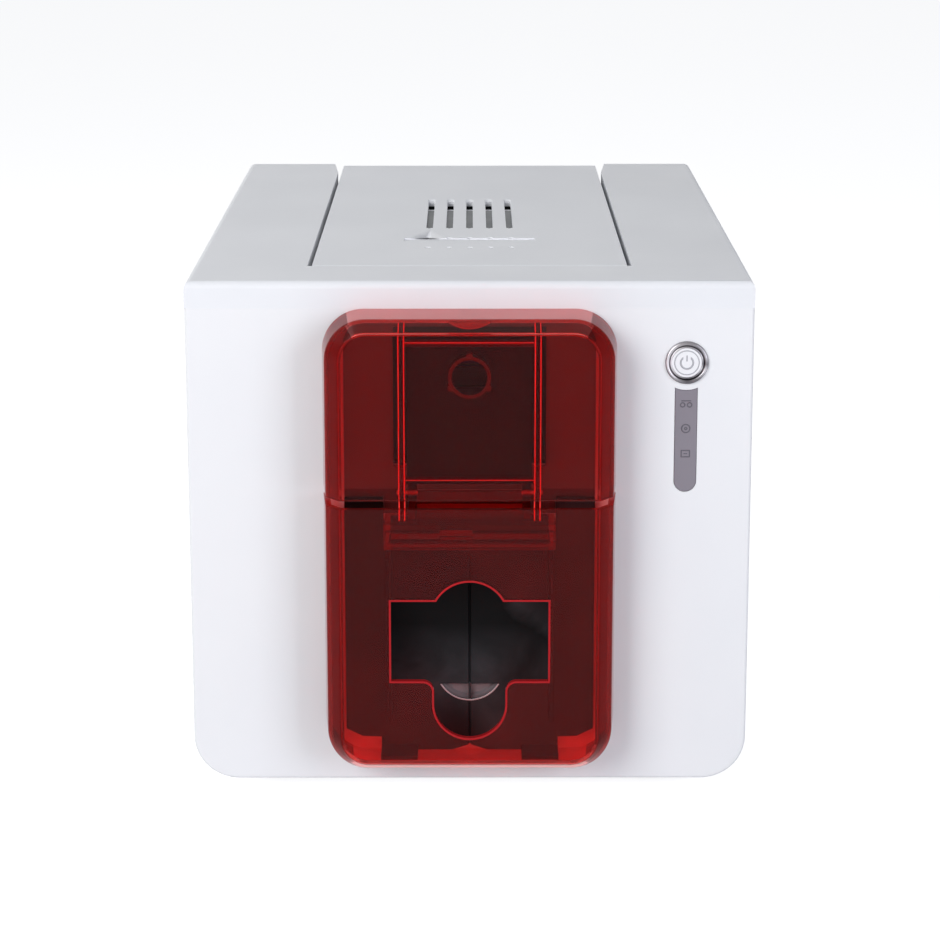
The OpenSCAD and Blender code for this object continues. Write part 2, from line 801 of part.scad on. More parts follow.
module fan_rotor() {
    x = fan_at[0];
    z = fan_at[1];
    y0 = fan_front + 1.7;
    color("#2a2a2d") difference() {
        union() {
            peg(x, z, y0, y0 + 7.3, 10);
            intersection() {
                peg(x, z, y0, y0 + 7.3, 18.3);
                translate([x, y0 + 3.6, z]) for (i = [0 : 6]) rotate([0, i * 360 / 7, 0])
                    translate([0, 0, 13.5]) rotate([0, 0, 40]) cube([10.5, 1, 12], center = true);
            }
        }
        peg(x, z, y0 - 1, y0 + 5.5, 1.5 + run_gap);
    }
}

module panel_board() {
    y0 = panel_y + board_back;
    color("#2f6b45") span([button_x - 13, y0, lens_low - 6.9], [button_x + 13, y0 + 1.6, fascia_top - 3]);
    color(black) span([button_x - 3, y0 - switch_height, button_z - 3],
        [button_x + 3, y0 + eps, button_z + 3]);
    color("#e8e4c8") for (i = [0 : 2]) let (z = lens_low + 6.1 + 13 * i)
        span([button_x - 2.5, y0 - 2, z - 2.5], [button_x + 2.5, y0 + eps, z + 2.5]);
}

module status_lens() {
    color("#8a838c") along_y(panel_y - 0.2, panel_y + 2.6) lens_outline(0);
}

module button_ring() {
    color("#b9bbbd") difference() {
        union() {
            peg(button_x, button_z, panel_y - 1, panel_y, ring_r);
            peg(button_x, button_z, panel_y - eps, panel_y + 2.5, ring_seat_r);
        }
        peg(button_x, button_z, panel_y - 2, panel_y + 3, button_r + 0.1);
    }
}

module power_button() {
    color("#f2f2f4") {
        peg(button_x, button_z, panel_y - 0.8, panel_y + 3.2, button_r);
        peg(button_x, button_z, panel_y + 2.6, panel_y + 3.8, 7);
        peg(button_x, button_z, panel_y + 3, stem_end, 2.4);
    }
}

// ---------------------------------------------------------------- lid

groove_rear = panel_y + 181;
groove_tip = panel_y + 67;
slot_rear = groove_rear - 1;

module lid() {
    skirt = 2;
    skirt_low = body_height - 8;
    color(shell_grey) difference() {
        union() {
            span([-lid_half, lid_y, lid_under], [lid_half, hinge_y, body_height]);
            both_sides() span([lid_half - skirt, lid_y, skirt_low],
                [lid_half, hinge_y - 12, lid_under + eps]);
            span([-lid_half, lid_y, skirt_low], [lid_half, lid_y + skirt, lid_under + eps]);
            intersection() {
                difference() {
                    rod(-lid_half, lid_half, hinge_y, hinge_z, knuckle_r);
                    rod(-lid_half - 1, lid_half + 1, hinge_y, hinge_z, knuckle_r - lid_wall);
                }
                along_x(-lid_half, lid_half) polygon([
                    [hinge_y, hinge_z], [hinge_y, hinge_z + 20], [hinge_y + 20, hinge_z + 20],
                    [hinge_y + 20, hinge_z - 20 * tan(knuckle_end)]
                ]);
            }
        }
        for (i = [0 : vent_count - 1]) translate([(i - (vent_count - 1) / 2) * vent_pitch, 0, 0]) {
            span([-1.35, slot_rear - vent_length, lid_under - 1], [1.35, slot_rear, body_height + 1]);
            translate([0, 0, body_height - 0.8]) linear_extrude(height = 2) {
                polygon([[-2.4, groove_rear - 2.4], [2.4, groove_rear - 2.4],
                    [0.7, groove_tip], [-0.7, groove_tip]]);
                translate([0, groove_rear - 2.4]) circle(r = 2.4);
            }
        }
        span([-25, panel_y + 84, body_height - 0.4], [25, panel_y + 85.2, body_height + 1]);
        difference() {
            span([-lid_half - 1, lid_y - 1, body_height - 1.5],
                [lid_half + 1, lid_y + 1.5, body_height + 1]);
            rod(-lid_half - 2, lid_half + 2, lid_y + 1.5, body_height - 1.5, 1.5);
        }
    }
}

module lid_frame() {
    out = lid_half - 2.2;
    low = lid_under - 5.5;
    color("#4c4f54") difference() {
        union() {
            span([-out, lid_y + 2.3, low], [out, lid_y + 12, lid_under]);
            both_sides() {
                span([plate_out + 1, lid_y + 2.3, low], [out, hinge_y - 14, lid_under]);
                along_x(plate_out + 1, plate_out + 4) {
                    polygon([[hinge_y - 16, low], [hinge_y - 16, lid_under],
                        [hinge_y - 1, hinge_z + 3], [hinge_y - 1, hinge_z - 3]]);
                    translate([hinge_y, hinge_z]) circle(r = 3.2);
                }
            }
            span([-out, head_y - 14, low], [out, head_y + 16, lid_under]);
            span([-out, 112, low], [out, 120, lid_under]);
        }
        both_sides() rod(plate_out, plate_out + 5, hinge_y, hinge_z, hinge_pin_r + run_gap);
        span([-24, head_y - 20, low - 1], [24, head_y + 10, lid_under + 1]);
    }
}

module head_bracket() {
    top = lid_under - 5.5;
    color(steel) {
        both_sides() {
            along_x(arm_in, arm_in + arm_wall) polygon([
                [head_y - 12, top], [head_y + 14, top], [head_y + 9, bridge_z], [head_y - 7, bridge_z]
            ]);
            span([arm_in - 8, head_y - 12, top - 1.6], [arm_in + eps, head_y + 14, top]);
            translate([post_x, head_y + 1, head_top + 4]) cylinder(r = post_r, h = bridge_z - head_top - 3);
        }
        span([-arm_in - arm_wall, head_y - 7, bridge_z], [arm_in + arm_wall, head_y + 9, bridge_z + 2]);
    }
}

module head_springs() {
    foot = carrier_top + head_travel + 0.3;
    color(steel) both_sides() translate([post_x, head_y + 1, foot]) difference() {
        cylinder(r = 3.4, h = bridge_z - foot);
        translate([0, 0, -1]) cylinder(r = post_r + 0.2, h = 10);
    }
}

module head_carrier() {
    y0 = head_y - 6;
    y1 = head_y + 8;
    color("#a8abb0") difference() {
        union() {
            span([-head_half, y0, head_top], [head_half, y1, carrier_top - 5]);
            for (i = [0 : 5]) span([-head_half, y0 + 2.56 * i, carrier_top - 6],
                [head_half, y0 + 2.56 * i + 1.2, carrier_top]);
            both_sides() translate([post_x, head_y + 1, head_top])
                cylinder(r = 4, h = carrier_top - head_top);
        }
        both_sides() translate([post_x, head_y + 1, head_top + 2]) cylinder(r = post_r + run_gap, h = 20);
    }
}

module print_head() {
    color("#d9d2c0") along_x(-head_half, head_half) polygon([
        [head_y - 6, head_top], [head_y + 7, head_top], [head_y + 7, head_z + 0.8],
        [head_y + 2, head_z], [head_y - 2, head_z], [head_y - 6, head_z + 0.8]
    ]);
}

// ---------------------------------------------------------------- front covers

// Outline with two rounded corners on one side, as a thin slice at y
module cover_slice(y, half, low, high, r, round_top) {
    thin = 0.02;
    rz = round_top ? high - r : low + r;
    flat_z = round_top ? low : high - 1;
    along_y(y, y + thin) {
        for (s = [-1, 1]) translate([s * (half - r), rz]) circle(r = r, $fn = 48);
        translate([-half, flat_z]) square([2 * half, 1]);
    }
}

// A cover's solid: drafted root, rim and bevelled face, drawn in by a distance
module cover_body(inset, low, high, round_top) {
    seat_y = round_top ? panel_y - slide_gap : panel_y;
    root_y = inset > 0 ? panel_y + 0.5 : seat_y - 0.02;
    half = cover_half - inset;
    lo = round_top ? low : low + inset;
    hi = round_top ? high - inset : high;
    bevel = cover_bevel;
    lo_face = round_top ? lo : lo + bevel - 0.8;
    hi_face = round_top ? hi - bevel + 0.8 : hi;
    lo_rim = round_top ? lo : lo + 0.4;
    hi_rim = round_top ? hi - 0.4 : hi;
    hull() {
        cover_slice(root_y, half, lo, hi, cover_radius + 1 - inset, round_top);
        cover_slice(rim_y + inset * 0.6, half - cover_draft, lo_rim, hi_rim,
            cover_radius - inset, round_top);
        cover_slice(front_y + inset, half - cover_draft - bevel, lo_face, hi_face,
            cover_radius - bevel - inset * 0.5, round_top);
    }
}

module cutout_outline() {
    thumb_r = 12.9;
    half = card_width / 2 + 1.3;
    translate([0, cover_bottom]) {
        translate([-half, 36]) square([2 * half, 30]);
        translate([0, 59.6]) circle(r = 13.6);
        translate([0, 27.2]) circle(r = thumb_r);
        translate([-thumb_r, 27.2]) square([2 * thumb_r, 12]);
        difference() {
            translate([-thumb_r - 3.5, 32.5]) square([2 * thumb_r + 7, 4]);
            for (s = [-1, 1]) translate([s * (thumb_r + 4), 32]) circle(r = 4);
        }
    }
}

module output_hopper() {
    color(clear_red) difference() {
        cover_body(0, cover_bottom, hopper_top, false);
        cover_body(cover_wall, cover_bottom, hopper_top + 1, false);
        along_y(front_y - 1, rim_y) cutout_outline();
    }
    color(clear_red) for (z = clip_z) both_sides()
        span([clip_x, panel_y - 6, z - 4], [clip_x + 2.4, panel_y + 5, z + 4]);
}

module output_tray() {
    foot = [19, 32.5];
    low = cover_bottom;
    foot_low = low + cover_wall + 0.7;
    foot_front = rim_y + 1.5;
    peak = [2.5, 6.3];
    wing = 45.5;
    rib_x = card_width / 2 + 1.9;
    notch = slot_block_half + 0.3;
    shoulder = path_height - 7;
    top = hopper_top - 1.2;
    color(black) {
        difference() {
            along_y(panel_y - 4, panel_y) polygon([
                [-wing, top], [-notch, top], [-notch, shoulder], [notch, shoulder], [notch, top],
                [wing, top], [wing, low + 11.2], [foot[1] + 7, low + 8.2], [foot[1], low + 8],
                [foot[1], foot_low], [peak[1], foot_low], [peak[0], low + 4.2], [0, low + 5],
                [-peak[0], low + 4.2], [-peak[1], foot_low], [-foot[1], foot_low],
                [-foot[1], low + 8], [-foot[1] - 7, low + 8.2], [-wing, low + 11.2]
            ]);
            along_y(panel_y - 5, panel_y + 1) intersection() {
                translate([0, low + 34.3]) circle(r = 12.4);
                translate([-20, low + 20]) square([40, 8.3]);
            }
            span([-0.4, panel_y - 5, low + 2], [0.4, panel_y - 3, shoulder + 1]);
        }
        both_sides() {
            span([rib_x, rim_y + 2, low + 17.6], [rib_x + 1.6, panel_y - 4 + eps, shoulder - 1]);
            span([foot[0], foot_front, foot_low], [foot[1], panel_y - 4 + eps, foot_low + 2]);
        }
    }
}

module feeder_bezel() {
    half = 45.5;
    low = cover_mid + 1.3;
    high = feeder_top + 1.5;
    corner_r = 8;
    color(black) along_y(panel_y - 1.2, panel_y) difference() {
        union() {
            translate([-half, low]) square([2 * half, high - corner_r - low]);
            translate([-half + corner_r, low]) square([2 * (half - corner_r), high - low]);
            for (s = [-1, 1]) translate([s * (half - corner_r), high - corner_r]) circle(r = corner_r);
        }
        translate([-window_half, feeder_floor - 1])
            square([2 * window_half, feeder_top - feeder_floor + 1]);
    }
}

module feeder_door() {
    color(clear_red) difference() {
        union() {
            difference() {
                cover_body(0, cover_mid, cover_top, true);
                cover_body(cover_wall, cover_mid - 1, cover_top, true);
            }
            peg(0, pad_z, front_y + cover_wall - 0.2, front_y + 7.5, 5.9);
            along_y(rim_y, rim_y + 1.6) intersection() {
                translate([0, cover_top + 9.2]) circle(r = 12.8);
                translate([-9, cover_top - 5]) square([18, 3]);
            }
        }
        peg(0, pad_z, front_y + cover_wall, front_y + 8, 4.7);
        // eases the lower front edge, which turns past the hopper
        translate([0, front_y, cover_mid]) rotate([45, 0, 0]) cube([120, 1.5, 1.5], center = true);
    }
}

module door_frame() {
    face = front_y + cover_wall;
    deep = front_y + 12;
    color("#6d181b") {
        difference() {
            both_sides() along_x(arm_out - arm_thick, arm_out) {
                polygon([
                    [face, cover_mid + 1], [face, cover_top - 6.6], [rim_y + 1.4, cover_top - 2.7],
                    [deep, cover_top - 2.6], [deep, cover_mid + 2], [deep - 2.5, cover_mid - 8.7],
                    [deep - 7, cover_mid - 8.7],
                    [deep - 7, cover_mid + 1]
                ]);
                translate([pivot_y, pivot_z]) circle(r = ear_r);
            }
            both_sides() rod(arm_out - arm_thick - 1, arm_out + 1, pivot_y, pivot_z, door_pin_r + run_gap);
        }
        for (z = [pivot_z + 2.4, cover_top - 10.4])
            span([-arm_out + arm_thick - eps, front_y + 6.5, z],
                [arm_out - arm_thick + eps, deep, z + 1.6]);
    }
}

module stack_pad() {
    half = arm_out - arm_thick - 2 * slide_gap;
    y1 = front_y + 10.5;
    color(black) difference() {
        union() {
            span([-half, y1 - 1.5, pivot_z + 4.6], [half, y1, cover_top - 11]);
            peg(0, pad_z, front_y + 5, y1 - 1, 7.6);
            for (a = [90, 210, 330])
                peg(7.6 * cos(a), pad_z + 7.6 * sin(a), front_y + 5, y1 - 1, 1.4);
        }
        peg(0, pad_z, front_y + 4, y1 + 1, 6);
    }
}

module door_pins() {
    color(steel) both_sides() rod(arm_out - 6.9, arm_out + 0.6, pivot_y, pivot_z, door_pin_r);
}

module slot_frame() {
    block_low = slot_low - 3.2;
    block_high = slot_high + 3;
    band = arm_out - arm_thick - 1;
    bracket = 3.2;
    deck = hopper_top + 1.2;
    pin_eye = 2.1;
    color("#6d181b") difference() {
        union() {
            span([-slot_block_half, rim_y + 2, block_low], [slot_block_half, panel_y, block_high]);
            span([-slot_half - 1.6, rim_y, slot_low - 0.8], [slot_half + 1.6, rim_y + 3, slot_high + 0.8]);
            span([-band, rim_y + 3, block_high - eps], [band, panel_y, deck]);
            both_sides() along_x(band - bracket, band) {
                polygon([
                    [pivot_y + 7.5, block_high - eps], [pivot_y + 7.5, pivot_z + pin_eye],
                    [pivot_y, pivot_z + pin_eye], [pivot_y, pivot_z - pin_eye],
                    [pivot_y + 3.2, pivot_z - pin_eye], [pivot_y + 3.2, block_high - eps]
                ]);
                translate([pivot_y, pivot_z]) circle(r = pin_eye);
            }
        }
        span([-slot_half, rim_y - 1, slot_low], [slot_half, panel_y + 1, slot_high]);
        span([-10.7, rim_y - 1, slot_low], [1, rim_y + 8, slot_high + 1.4]);
        span([-band + 2.5, rim_y + 5, block_high + 1.5], [band - 2.5, panel_y + 1, deck - 2]);
        both_sides() rod(band - bracket - 1, band + 1, pivot_y, pivot_z, door_pin_r);
    }
}

// ---------------------------------------------------------------- what is drawn

base_tray();
upper_casing();
front_fascia();
rear_panel();
feet();
casing_screws();
chassis_left();
chassis_right();
chassis_ties();
chassis_screws();
hinge_pins();
card_guide();
bushings();
drive_motor();
motor_pulley();
drive_belts();
front_roller_shaft();
front_roller_rubber();
front_roller_pulleys();
platen_shaft();
platen_rubber();
platen_pulleys();
rear_roller_shaft();
rear_roller_rubber();
rear_roller_pulley();
pickup_shaft();
pickup_rubber();
pickup_pulley();
cleaning_roller();
feeder_box();
gauge_slider();
feed_ramp();
ribbon_cassette();
supply_spool();
takeup_spool();
ribbon_film();
main_board();
usb_socket();
network_socket();
power_jack();
fan_frame();
fan_rotor();
panel_board();
status_lens();
button_ring();
power_button();
lid();
lid_frame();
head_bracket();
head_springs();
head_carrier();
print_head();
feeder_bezel();
feeder_door();
door_frame();
stack_pad();
door_pins();
slot_frame();
output_hopper();
output_tray();
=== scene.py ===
"""Desktop printer for plastic identity cards: the looks of its casing, lid, clear red door and hopper,
and of the print works under the lid. Sections follow the machine as it is put together."""

import json
import math

import bpy
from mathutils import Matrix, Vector

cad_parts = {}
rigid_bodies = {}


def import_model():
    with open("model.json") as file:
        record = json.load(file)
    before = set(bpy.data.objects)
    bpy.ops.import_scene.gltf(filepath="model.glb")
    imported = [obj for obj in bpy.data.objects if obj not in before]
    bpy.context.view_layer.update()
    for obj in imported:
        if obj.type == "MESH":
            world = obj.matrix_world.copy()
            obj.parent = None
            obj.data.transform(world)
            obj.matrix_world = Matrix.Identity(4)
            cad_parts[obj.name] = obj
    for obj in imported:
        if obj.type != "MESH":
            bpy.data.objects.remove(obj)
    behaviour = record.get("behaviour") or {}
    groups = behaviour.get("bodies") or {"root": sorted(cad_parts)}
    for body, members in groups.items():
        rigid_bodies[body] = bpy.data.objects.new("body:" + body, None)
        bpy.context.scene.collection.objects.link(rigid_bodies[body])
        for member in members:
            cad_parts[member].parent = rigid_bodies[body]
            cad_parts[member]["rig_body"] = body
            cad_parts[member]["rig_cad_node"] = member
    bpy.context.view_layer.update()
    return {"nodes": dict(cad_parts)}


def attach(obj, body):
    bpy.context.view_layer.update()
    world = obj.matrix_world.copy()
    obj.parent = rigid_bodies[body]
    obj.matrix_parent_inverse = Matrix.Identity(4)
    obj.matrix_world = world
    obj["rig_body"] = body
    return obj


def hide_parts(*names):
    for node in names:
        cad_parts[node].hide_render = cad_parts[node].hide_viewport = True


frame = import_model()

# ---------------------------------------------------------------- camera
# A long lens in front of the machine and a little above it, tilted down, with
# the frame shifted down so that the uprights stay nearly parallel.
MM = 0.001
TILT_DOWN = 0.209
ROLL = 0.0006
bpy.ops.object.camera_add(
    location=(0.3 * MM, -1046 * MM, 372 * MM),
    rotation=(math.radians(90) - TILT_DOWN, ROLL, 0),
)
camera = bpy.context.object
camera.name = "camera"
camera.data.sensor_width = 36
camera.data.lens = 99.6
camera.data.shift_y = -0.152
camera.data.clip_start = 0.01
camera.data.clip_end = 20
bpy.context.scene.camera = camera

# ---------------------------------------------------------------- studio
# White floor and sky with soft boxes in front, so that the front is bright and
# the top of the casing is a quieter grey, as in a product picture.
scene = bpy.context.scene
scene.view_settings.view_transform = "Standard"


def srgb(code):
    """A colour as painted, #rrggbb, in the linear values that the shaders take."""
    parts = [int(code[i : i + 2], 16) / 255 for i in (1, 3, 5)]
    return tuple(c / 12.92 if c <= 0.04045 else ((c + 0.055) / 1.055) ** 2.4 for c in parts) + (1,)


def add(tree, kind, sockets=None, **settings):
    """Adds a shader node. A socket takes a value, or (node, output) as a link."""
    node = tree.nodes.new("ShaderNode" + kind)
    for key, value in settings.items():
        setattr(node, key, value)
    for key, value in (sockets or {}).items():
        if isinstance(value, tuple) and isinstance(value[0], bpy.types.Node):
            tree.links.new(value[0].outputs[value[1]], node.inputs[key])
        else:
            node.inputs[key].default_value = value
    return node


def clear_tree(owner):
    """An empty node tree for a material or the world."""
    owner.use_nodes = True
    owner.node_tree.nodes.clear()
    return owner.node_tree


def seen_directly(tree):
    """A node that gives 1 for the camera's rays and those that gloss or glass send on, 0 for light."""
    ray = add(tree, "LightPath")
    seen = add(tree, "Math", {0: (ray, "Is Camera Ray"), 1: (ray, "Is Glossy Ray")}, operation="MAXIMUM")
    return add(tree, "Math", {0: (seen, 0), 1: (ray, "Is Transmission Ray")}, operation="MAXIMUM")


world = bpy.data.worlds.new("studio")
scene.world = world
sky = clear_tree(world)
sky_light = add(sky, "Background", {"Color": srgb("#dfe3ea"), "Strength": 0.27})
sky_white = add(sky, "Background", {"Color": (1, 1, 1, 1), "Strength": 1.0})
sky_mix = add(sky, "MixShader", {0: (seen_directly(sky), 0), 1: (sky_light, 0), 2: (sky_white, 0)})
add(sky, "OutputWorld", {"Surface": (sky_mix, 0)})


def soft_box(name, place, aim, size, power, tint="#ffffff"):
    """A rectangular studio lamp that points at a spot on the machine."""
    bpy.ops.object.light_add(type="AREA", location=place)
    lamp = bpy.context.object
    lamp.name = name
    lamp.rotation_euler = (Vector(aim) - Vector(place)).to_track_quat("-Z", "Y").to_euler()
    lamp.data.shape = "RECTANGLE"
    lamp.data.size, lamp.data.size_y = size
    lamp.data.energy = power
    lamp.data.color = srgb(tint)[:3]


FRONT_MIDDLE = (0, -0.13, 0.1)
TOP_MIDDLE = (0, 0, 0.19)
soft_box("key_box", (-0.95, -1.5, 0.9), FRONT_MIDDLE, (0.9, 1.1), 19.3)
soft_box("fill_box", (1.15, -1.4, 0.55), FRONT_MIDDLE, (0.7, 1.0), 11.5, "#f4f6ff")
soft_box("top_box", (-0.7, 0.15, 0.75), TOP_MIDDLE, (0.7, 0.7), 2.2)

bpy.ops.object.select_all(action="DESELECT")
bpy.ops.mesh.primitive_plane_add(size=8, location=(0, 0.5, -0.0002))
floor = bpy.context.object
floor.name = "floor"
studio_paper = bpy.data.materials.new("studio_paper")
paper = clear_tree(studio_paper)
lit = add(paper, "BsdfDiffuse", {"Color": srgb("#e4e4e6")})
glow = add(paper, "Emission", {"Color": (1, 1, 1, 1), "Strength": 0.77})
both = add(paper, "AddShader", {0: (lit, 0), 1: (glow, 0)})
paper_mix = add(paper, "MixShader", {0: (seen_directly(paper), 0), 1: (lit, 0), 2: (both, 0)})
add(paper, "OutputMaterial", {"Surface": (paper_mix, 0)})
floor.data.materials.append(studio_paper)

# ---------------------------------------------------------------- casing shells
# Base tray, upper casing and rear panel: injection-moulded ABS, spark-textured
# to a satin, screwed together from below.


def work_on(piece):
    """Makes one piece the only one that the next operator acts on."""
    if bpy.context.object and bpy.context.object.mode != "OBJECT":
        bpy.ops.object.mode_set(mode="OBJECT")
    bpy.ops.object.select_all(action="DESELECT")
    piece.select_set(True)
    bpy.context.view_layer.objects.active = piece


def soften(piece, width, segments=2, angle=35, material=-1):
    """Rounds the sharp edges of a piece by a bevel of that width in mm."""
    work_on(piece)
    bpy.ops.object.modifier_add(type="BEVEL")
    bevel = piece.modifiers[-1]
    bevel.width = width * MM
    bevel.segments = segments
    bevel.limit_method = "ANGLE"
    bevel.angle_limit = math.radians(angle)
    bevel.material = material
    bevel.miter_outer = "MITER_ARC"
    bpy.ops.object.modifier_apply(modifier=bevel.name)


def moulding(node, width, segments=2, angle=35, material=-1, pierced=False):
    """A copy of a CAD node, its triangles merged to faces, or to four-sided ones where openings
    pierce them, and its edges rounded as a mould leaves them."""
    work_on(frame["nodes"][node])
    bpy.ops.object.duplicate()
    piece = bpy.context.object
    piece.parent = None
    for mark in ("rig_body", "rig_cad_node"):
        del piece[mark]
    piece.name = node + "_moulded"
    bpy.ops.object.mode_set(mode="EDIT")
    bpy.ops.mesh.select_all(action="SELECT")
    bpy.ops.mesh.remove_doubles(threshold=0.004 * MM)
    flat = math.radians(0.5)
    if pierced:
        bpy.ops.mesh.tris_convert_to_quads(face_threshold=flat, shape_threshold=math.radians(170))
    else:
        bpy.ops.mesh.dissolve_limited(angle_limit=flat)
    bpy.ops.object.mode_set(mode="OBJECT")
    bpy.ops.mesh.customdata_custom_splitnormals_clear()
    soften(piece, width, segments, angle, material)
    return piece


def complete(piece, body, slot, finishes, *nodes):
    """Gives a piece its finishes and smooth shading, and fixes it to its body in place of CAD nodes."""
    work_on(piece)
    bpy.ops.object.transform_apply(location=True, rotation=True, scale=True)
    bpy.ops.object.shade_smooth_by_angle(angle=math.radians(50))
    bpy.ops.object.modifier_add(type="WEIGHTED_NORMAL")
    shading = piece.modifiers[-1]
    shading.keep_sharp = True
    bpy.ops.object.modifier_apply(modifier=shading.name)
    kept = finishes if isinstance(finishes, list) else [finishes]
    indices = [face.material_index for face in piece.data.polygons]
    piece.data.materials.clear()
    for finish in kept:
        piece.data.materials.append(finish)
    for face, index in zip(piece.data.polygons, indices):
        face.material_index = min(index, len(kept) - 1)
    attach(piece, body)
    if nodes:
        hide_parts(*nodes)


def moulded_plastic(name, light, dark, rough, grain, depth, **sockets):
    """Moulded plastic: a faint drift of colour, uneven gloss from handling, and a grain sized in mm."""
    material = bpy.data.materials.new(name)
    tree = clear_tree(material)
    place = add(tree, "TexCoord")
    drift = add(tree, "TexNoise", {"Vector": (place, "Object"), "Scale": 14, "Detail": 3})
    tone = add(tree, "ValToRGB", {0: (drift, "Fac")})
    shade, shine = tone.color_ramp.elements
    shade.position, shade.color = 0.35, srgb(dark)
    shine.position, shine.color = 0.65, srgb(light)
    handling = add(tree, "TexNoise", {"Vector": (place, "Object"), "Scale": 55, "Detail": 4})
    gloss = add(tree, "MapRange", {0: (handling, "Fac"), 1: 0.3, 2: 0.7, 3: rough[0], 4: rough[1]})
    sand = add(tree, "TexNoise", {"Vector": (place, "Object"), "Scale": 1 / (grain * MM), "Detail": 2})
    bump = add(tree, "Bump", {"Height": (sand, "Fac"), "Strength": depth, "Distance": 0.1 * MM})
    shader = add(tree, "BsdfPrincipled", {
        "Base Color": (tone, 0), "Roughness": (gloss, 0), "Normal": (bump, 0),
    })
    for socket, value in sockets.items():
        shader.inputs[socket.replace("_", " ")].default_value = value
    add(tree, "OutputMaterial", {"Surface": (shader, 0)})
    return material


casing_plastic = moulded_plastic(
    "casing_plastic", "#eeeff2", "#eaebee", (0.42, 0.52), 0.7, 0.12, Specular_IOR_Level=0.4
)
complete(moulding("base_tray", 0.3, pierced=True), "printer", "shell_grey", casing_plastic, "base_tray")
complete(moulding("upper_casing", 0.3), "printer", "shell_grey", casing_plastic, "upper_casing")
complete(moulding("rear_panel", 0.25, pierced=True), "printer", "shell_grey", casing_plastic, "rear_panel")

# ---------------------------------------------------------------- feet and screws
# Four moulded rubber feet are pushed into the tray from below; beside them four
# zinc-plated screws hold the tray and the upper casing together.
foot_rubber = moulded_plastic("foot_rubber", "#3b3b3d", "#2f2f31", (0.7, 0.85), 0.5, 0.4)
complete(moulding("feet", 0.8, 3), "printer", "rubber", foot_rubber, "feet")


def metal(name, light, dark, rough, grain, stretch):
    """Bare or plated metal whose fine lines, of that size in mm, run the way it was drawn or turned."""
    material = bpy.data.materials.new(name)
    tree = clear_tree(material)
    place = add(tree, "TexCoord")
    along = add(tree, "Mapping", {"Vector": (place, "Object"), "Scale": stretch})
    lines = add(tree, "TexNoise", {"Vector": (along, 0), "Scale": 1 / (grain * MM), "Detail": 3})
    tone = add(tree, "ValToRGB", {0: (lines, "Fac")})
    shade, shine = tone.color_ramp.elements
    shade.position, shade.color = 0.3, srgb(dark)
    shine.position, shine.color = 0.7, srgb(light)
    gloss = add(tree, "MapRange", {0: (lines, "Fac"), 1: 0.25, 2: 0.75, 3: rough[0], 4: rough[1]})
    bump = add(tree, "Bump", {"Height": (lines, "Fac"), "Strength": 0.15, "Distance": 0.05 * MM})
    shader = add(tree, "BsdfPrincipled", {
        "Base Color": (tone, 0), "Roughness": (gloss, 0), "Normal": (bump, 0), "Metallic": 1.0,
    })
    add(tree, "OutputMaterial", {"Surface": (shader, 0)})
    return material


zinc = metal("zinc_plate", "#b4b8bc", "#9a9fa4", (0.3, 0.42), 0.9, (1, 1, 1))
complete(moulding("casing_screws", 0.15), "printer", "steel", zinc, "casing_screws")


def dress(finish, *nodes):
    """A CAD node whose shape is right keeps it and gets its finish."""
    for name in nodes:
        node = frame["nodes"][name]
        if not node.material_slots:
            node.data.materials.append(finish)
        for place in node.material_slots:
            place.material = finish


# ---------------------------------------------------------------- chassis
# Two folded steel plates, held apart by turned tie rods and screws, carry the works
# on sintered bronze bushings; the card guide between them is glass-filled nylon.
sheet_steel = metal("sheet_steel", "#9da1a5", "#8a8f94", (0.36, 0.48), 0.6, (1, 0.06, 1))
turned_steel = metal("turned_steel", "#c2c5c9", "#adb1b6", (0.16, 0.26), 0.4, (0.2, 1, 1))
bronze = metal("sintered_bronze", "#a5793f", "#7f5a2c", (0.35, 0.5), 0.25, (1, 1, 1))
black_nylon = moulded_plastic("black_nylon", "#2b2b2d", "#222224", (0.45, 0.6), 0.5, 0.2)
for plate in ("chassis_left", "chassis_right"):
    complete(moulding(plate, 0.25), "printer", "steel", sheet_steel, plate)
dress(turned_steel, "chassis_ties", "hinge_pins")
dress(zinc, "chassis_screws")
dress(bronze, "bushings")
complete(moulding("card_guide", 0.3, pierced=True), "printer", "black_plastic", black_nylon, "card_guide")

# ---------------------------------------------------------------- drive
# One motor turns the rollers through rubber belts on the outside of the right plate.
# Shafts are turned steel with aluminium pulleys pressed on and rubber moulded round.
motor_paint = moulded_plastic("motor_paint", "#2e2f33", "#242529", (0.35, 0.5), 0.4, 0.2)
belt_rubber = moulded_plastic("belt_rubber", "#232325", "#19191b", (0.6, 0.75), 0.3, 0.5)
roller_rubber = moulded_plastic("roller_rubber", "#4a4a4e", "#3e3e42", (0.6, 0.75), 0.25, 0.3)
cleaning_film = moulded_plastic("cleaning_film", "#3f6fa8", "#355f93", (0.25, 0.4), 0.3, 0.1)
aluminium = metal("aluminium", "#c9ccd0", "#b6babf", (0.25, 0.36), 0.5, (1, 1, 0.2))
complete(moulding("drive_motor", 0.5), "printer", "dark_plastic", motor_paint, "drive_motor")
dress(belt_rubber, "drive_belts")
dress(
    aluminium,
    "motor_pulley", "front_roller_pulleys", "platen_pulleys", "rear_roller_pulley", "pickup_pulley",
)
dress(turned_steel, "front_roller_shaft", "platen_shaft", "rear_roller_shaft", "pickup_shaft")
dress(roller_rubber, "front_roller_rubber", "platen_rubber", "rear_roller_rubber", "pickup_rubber")
dress(cleaning_film, "cleaning_roller")

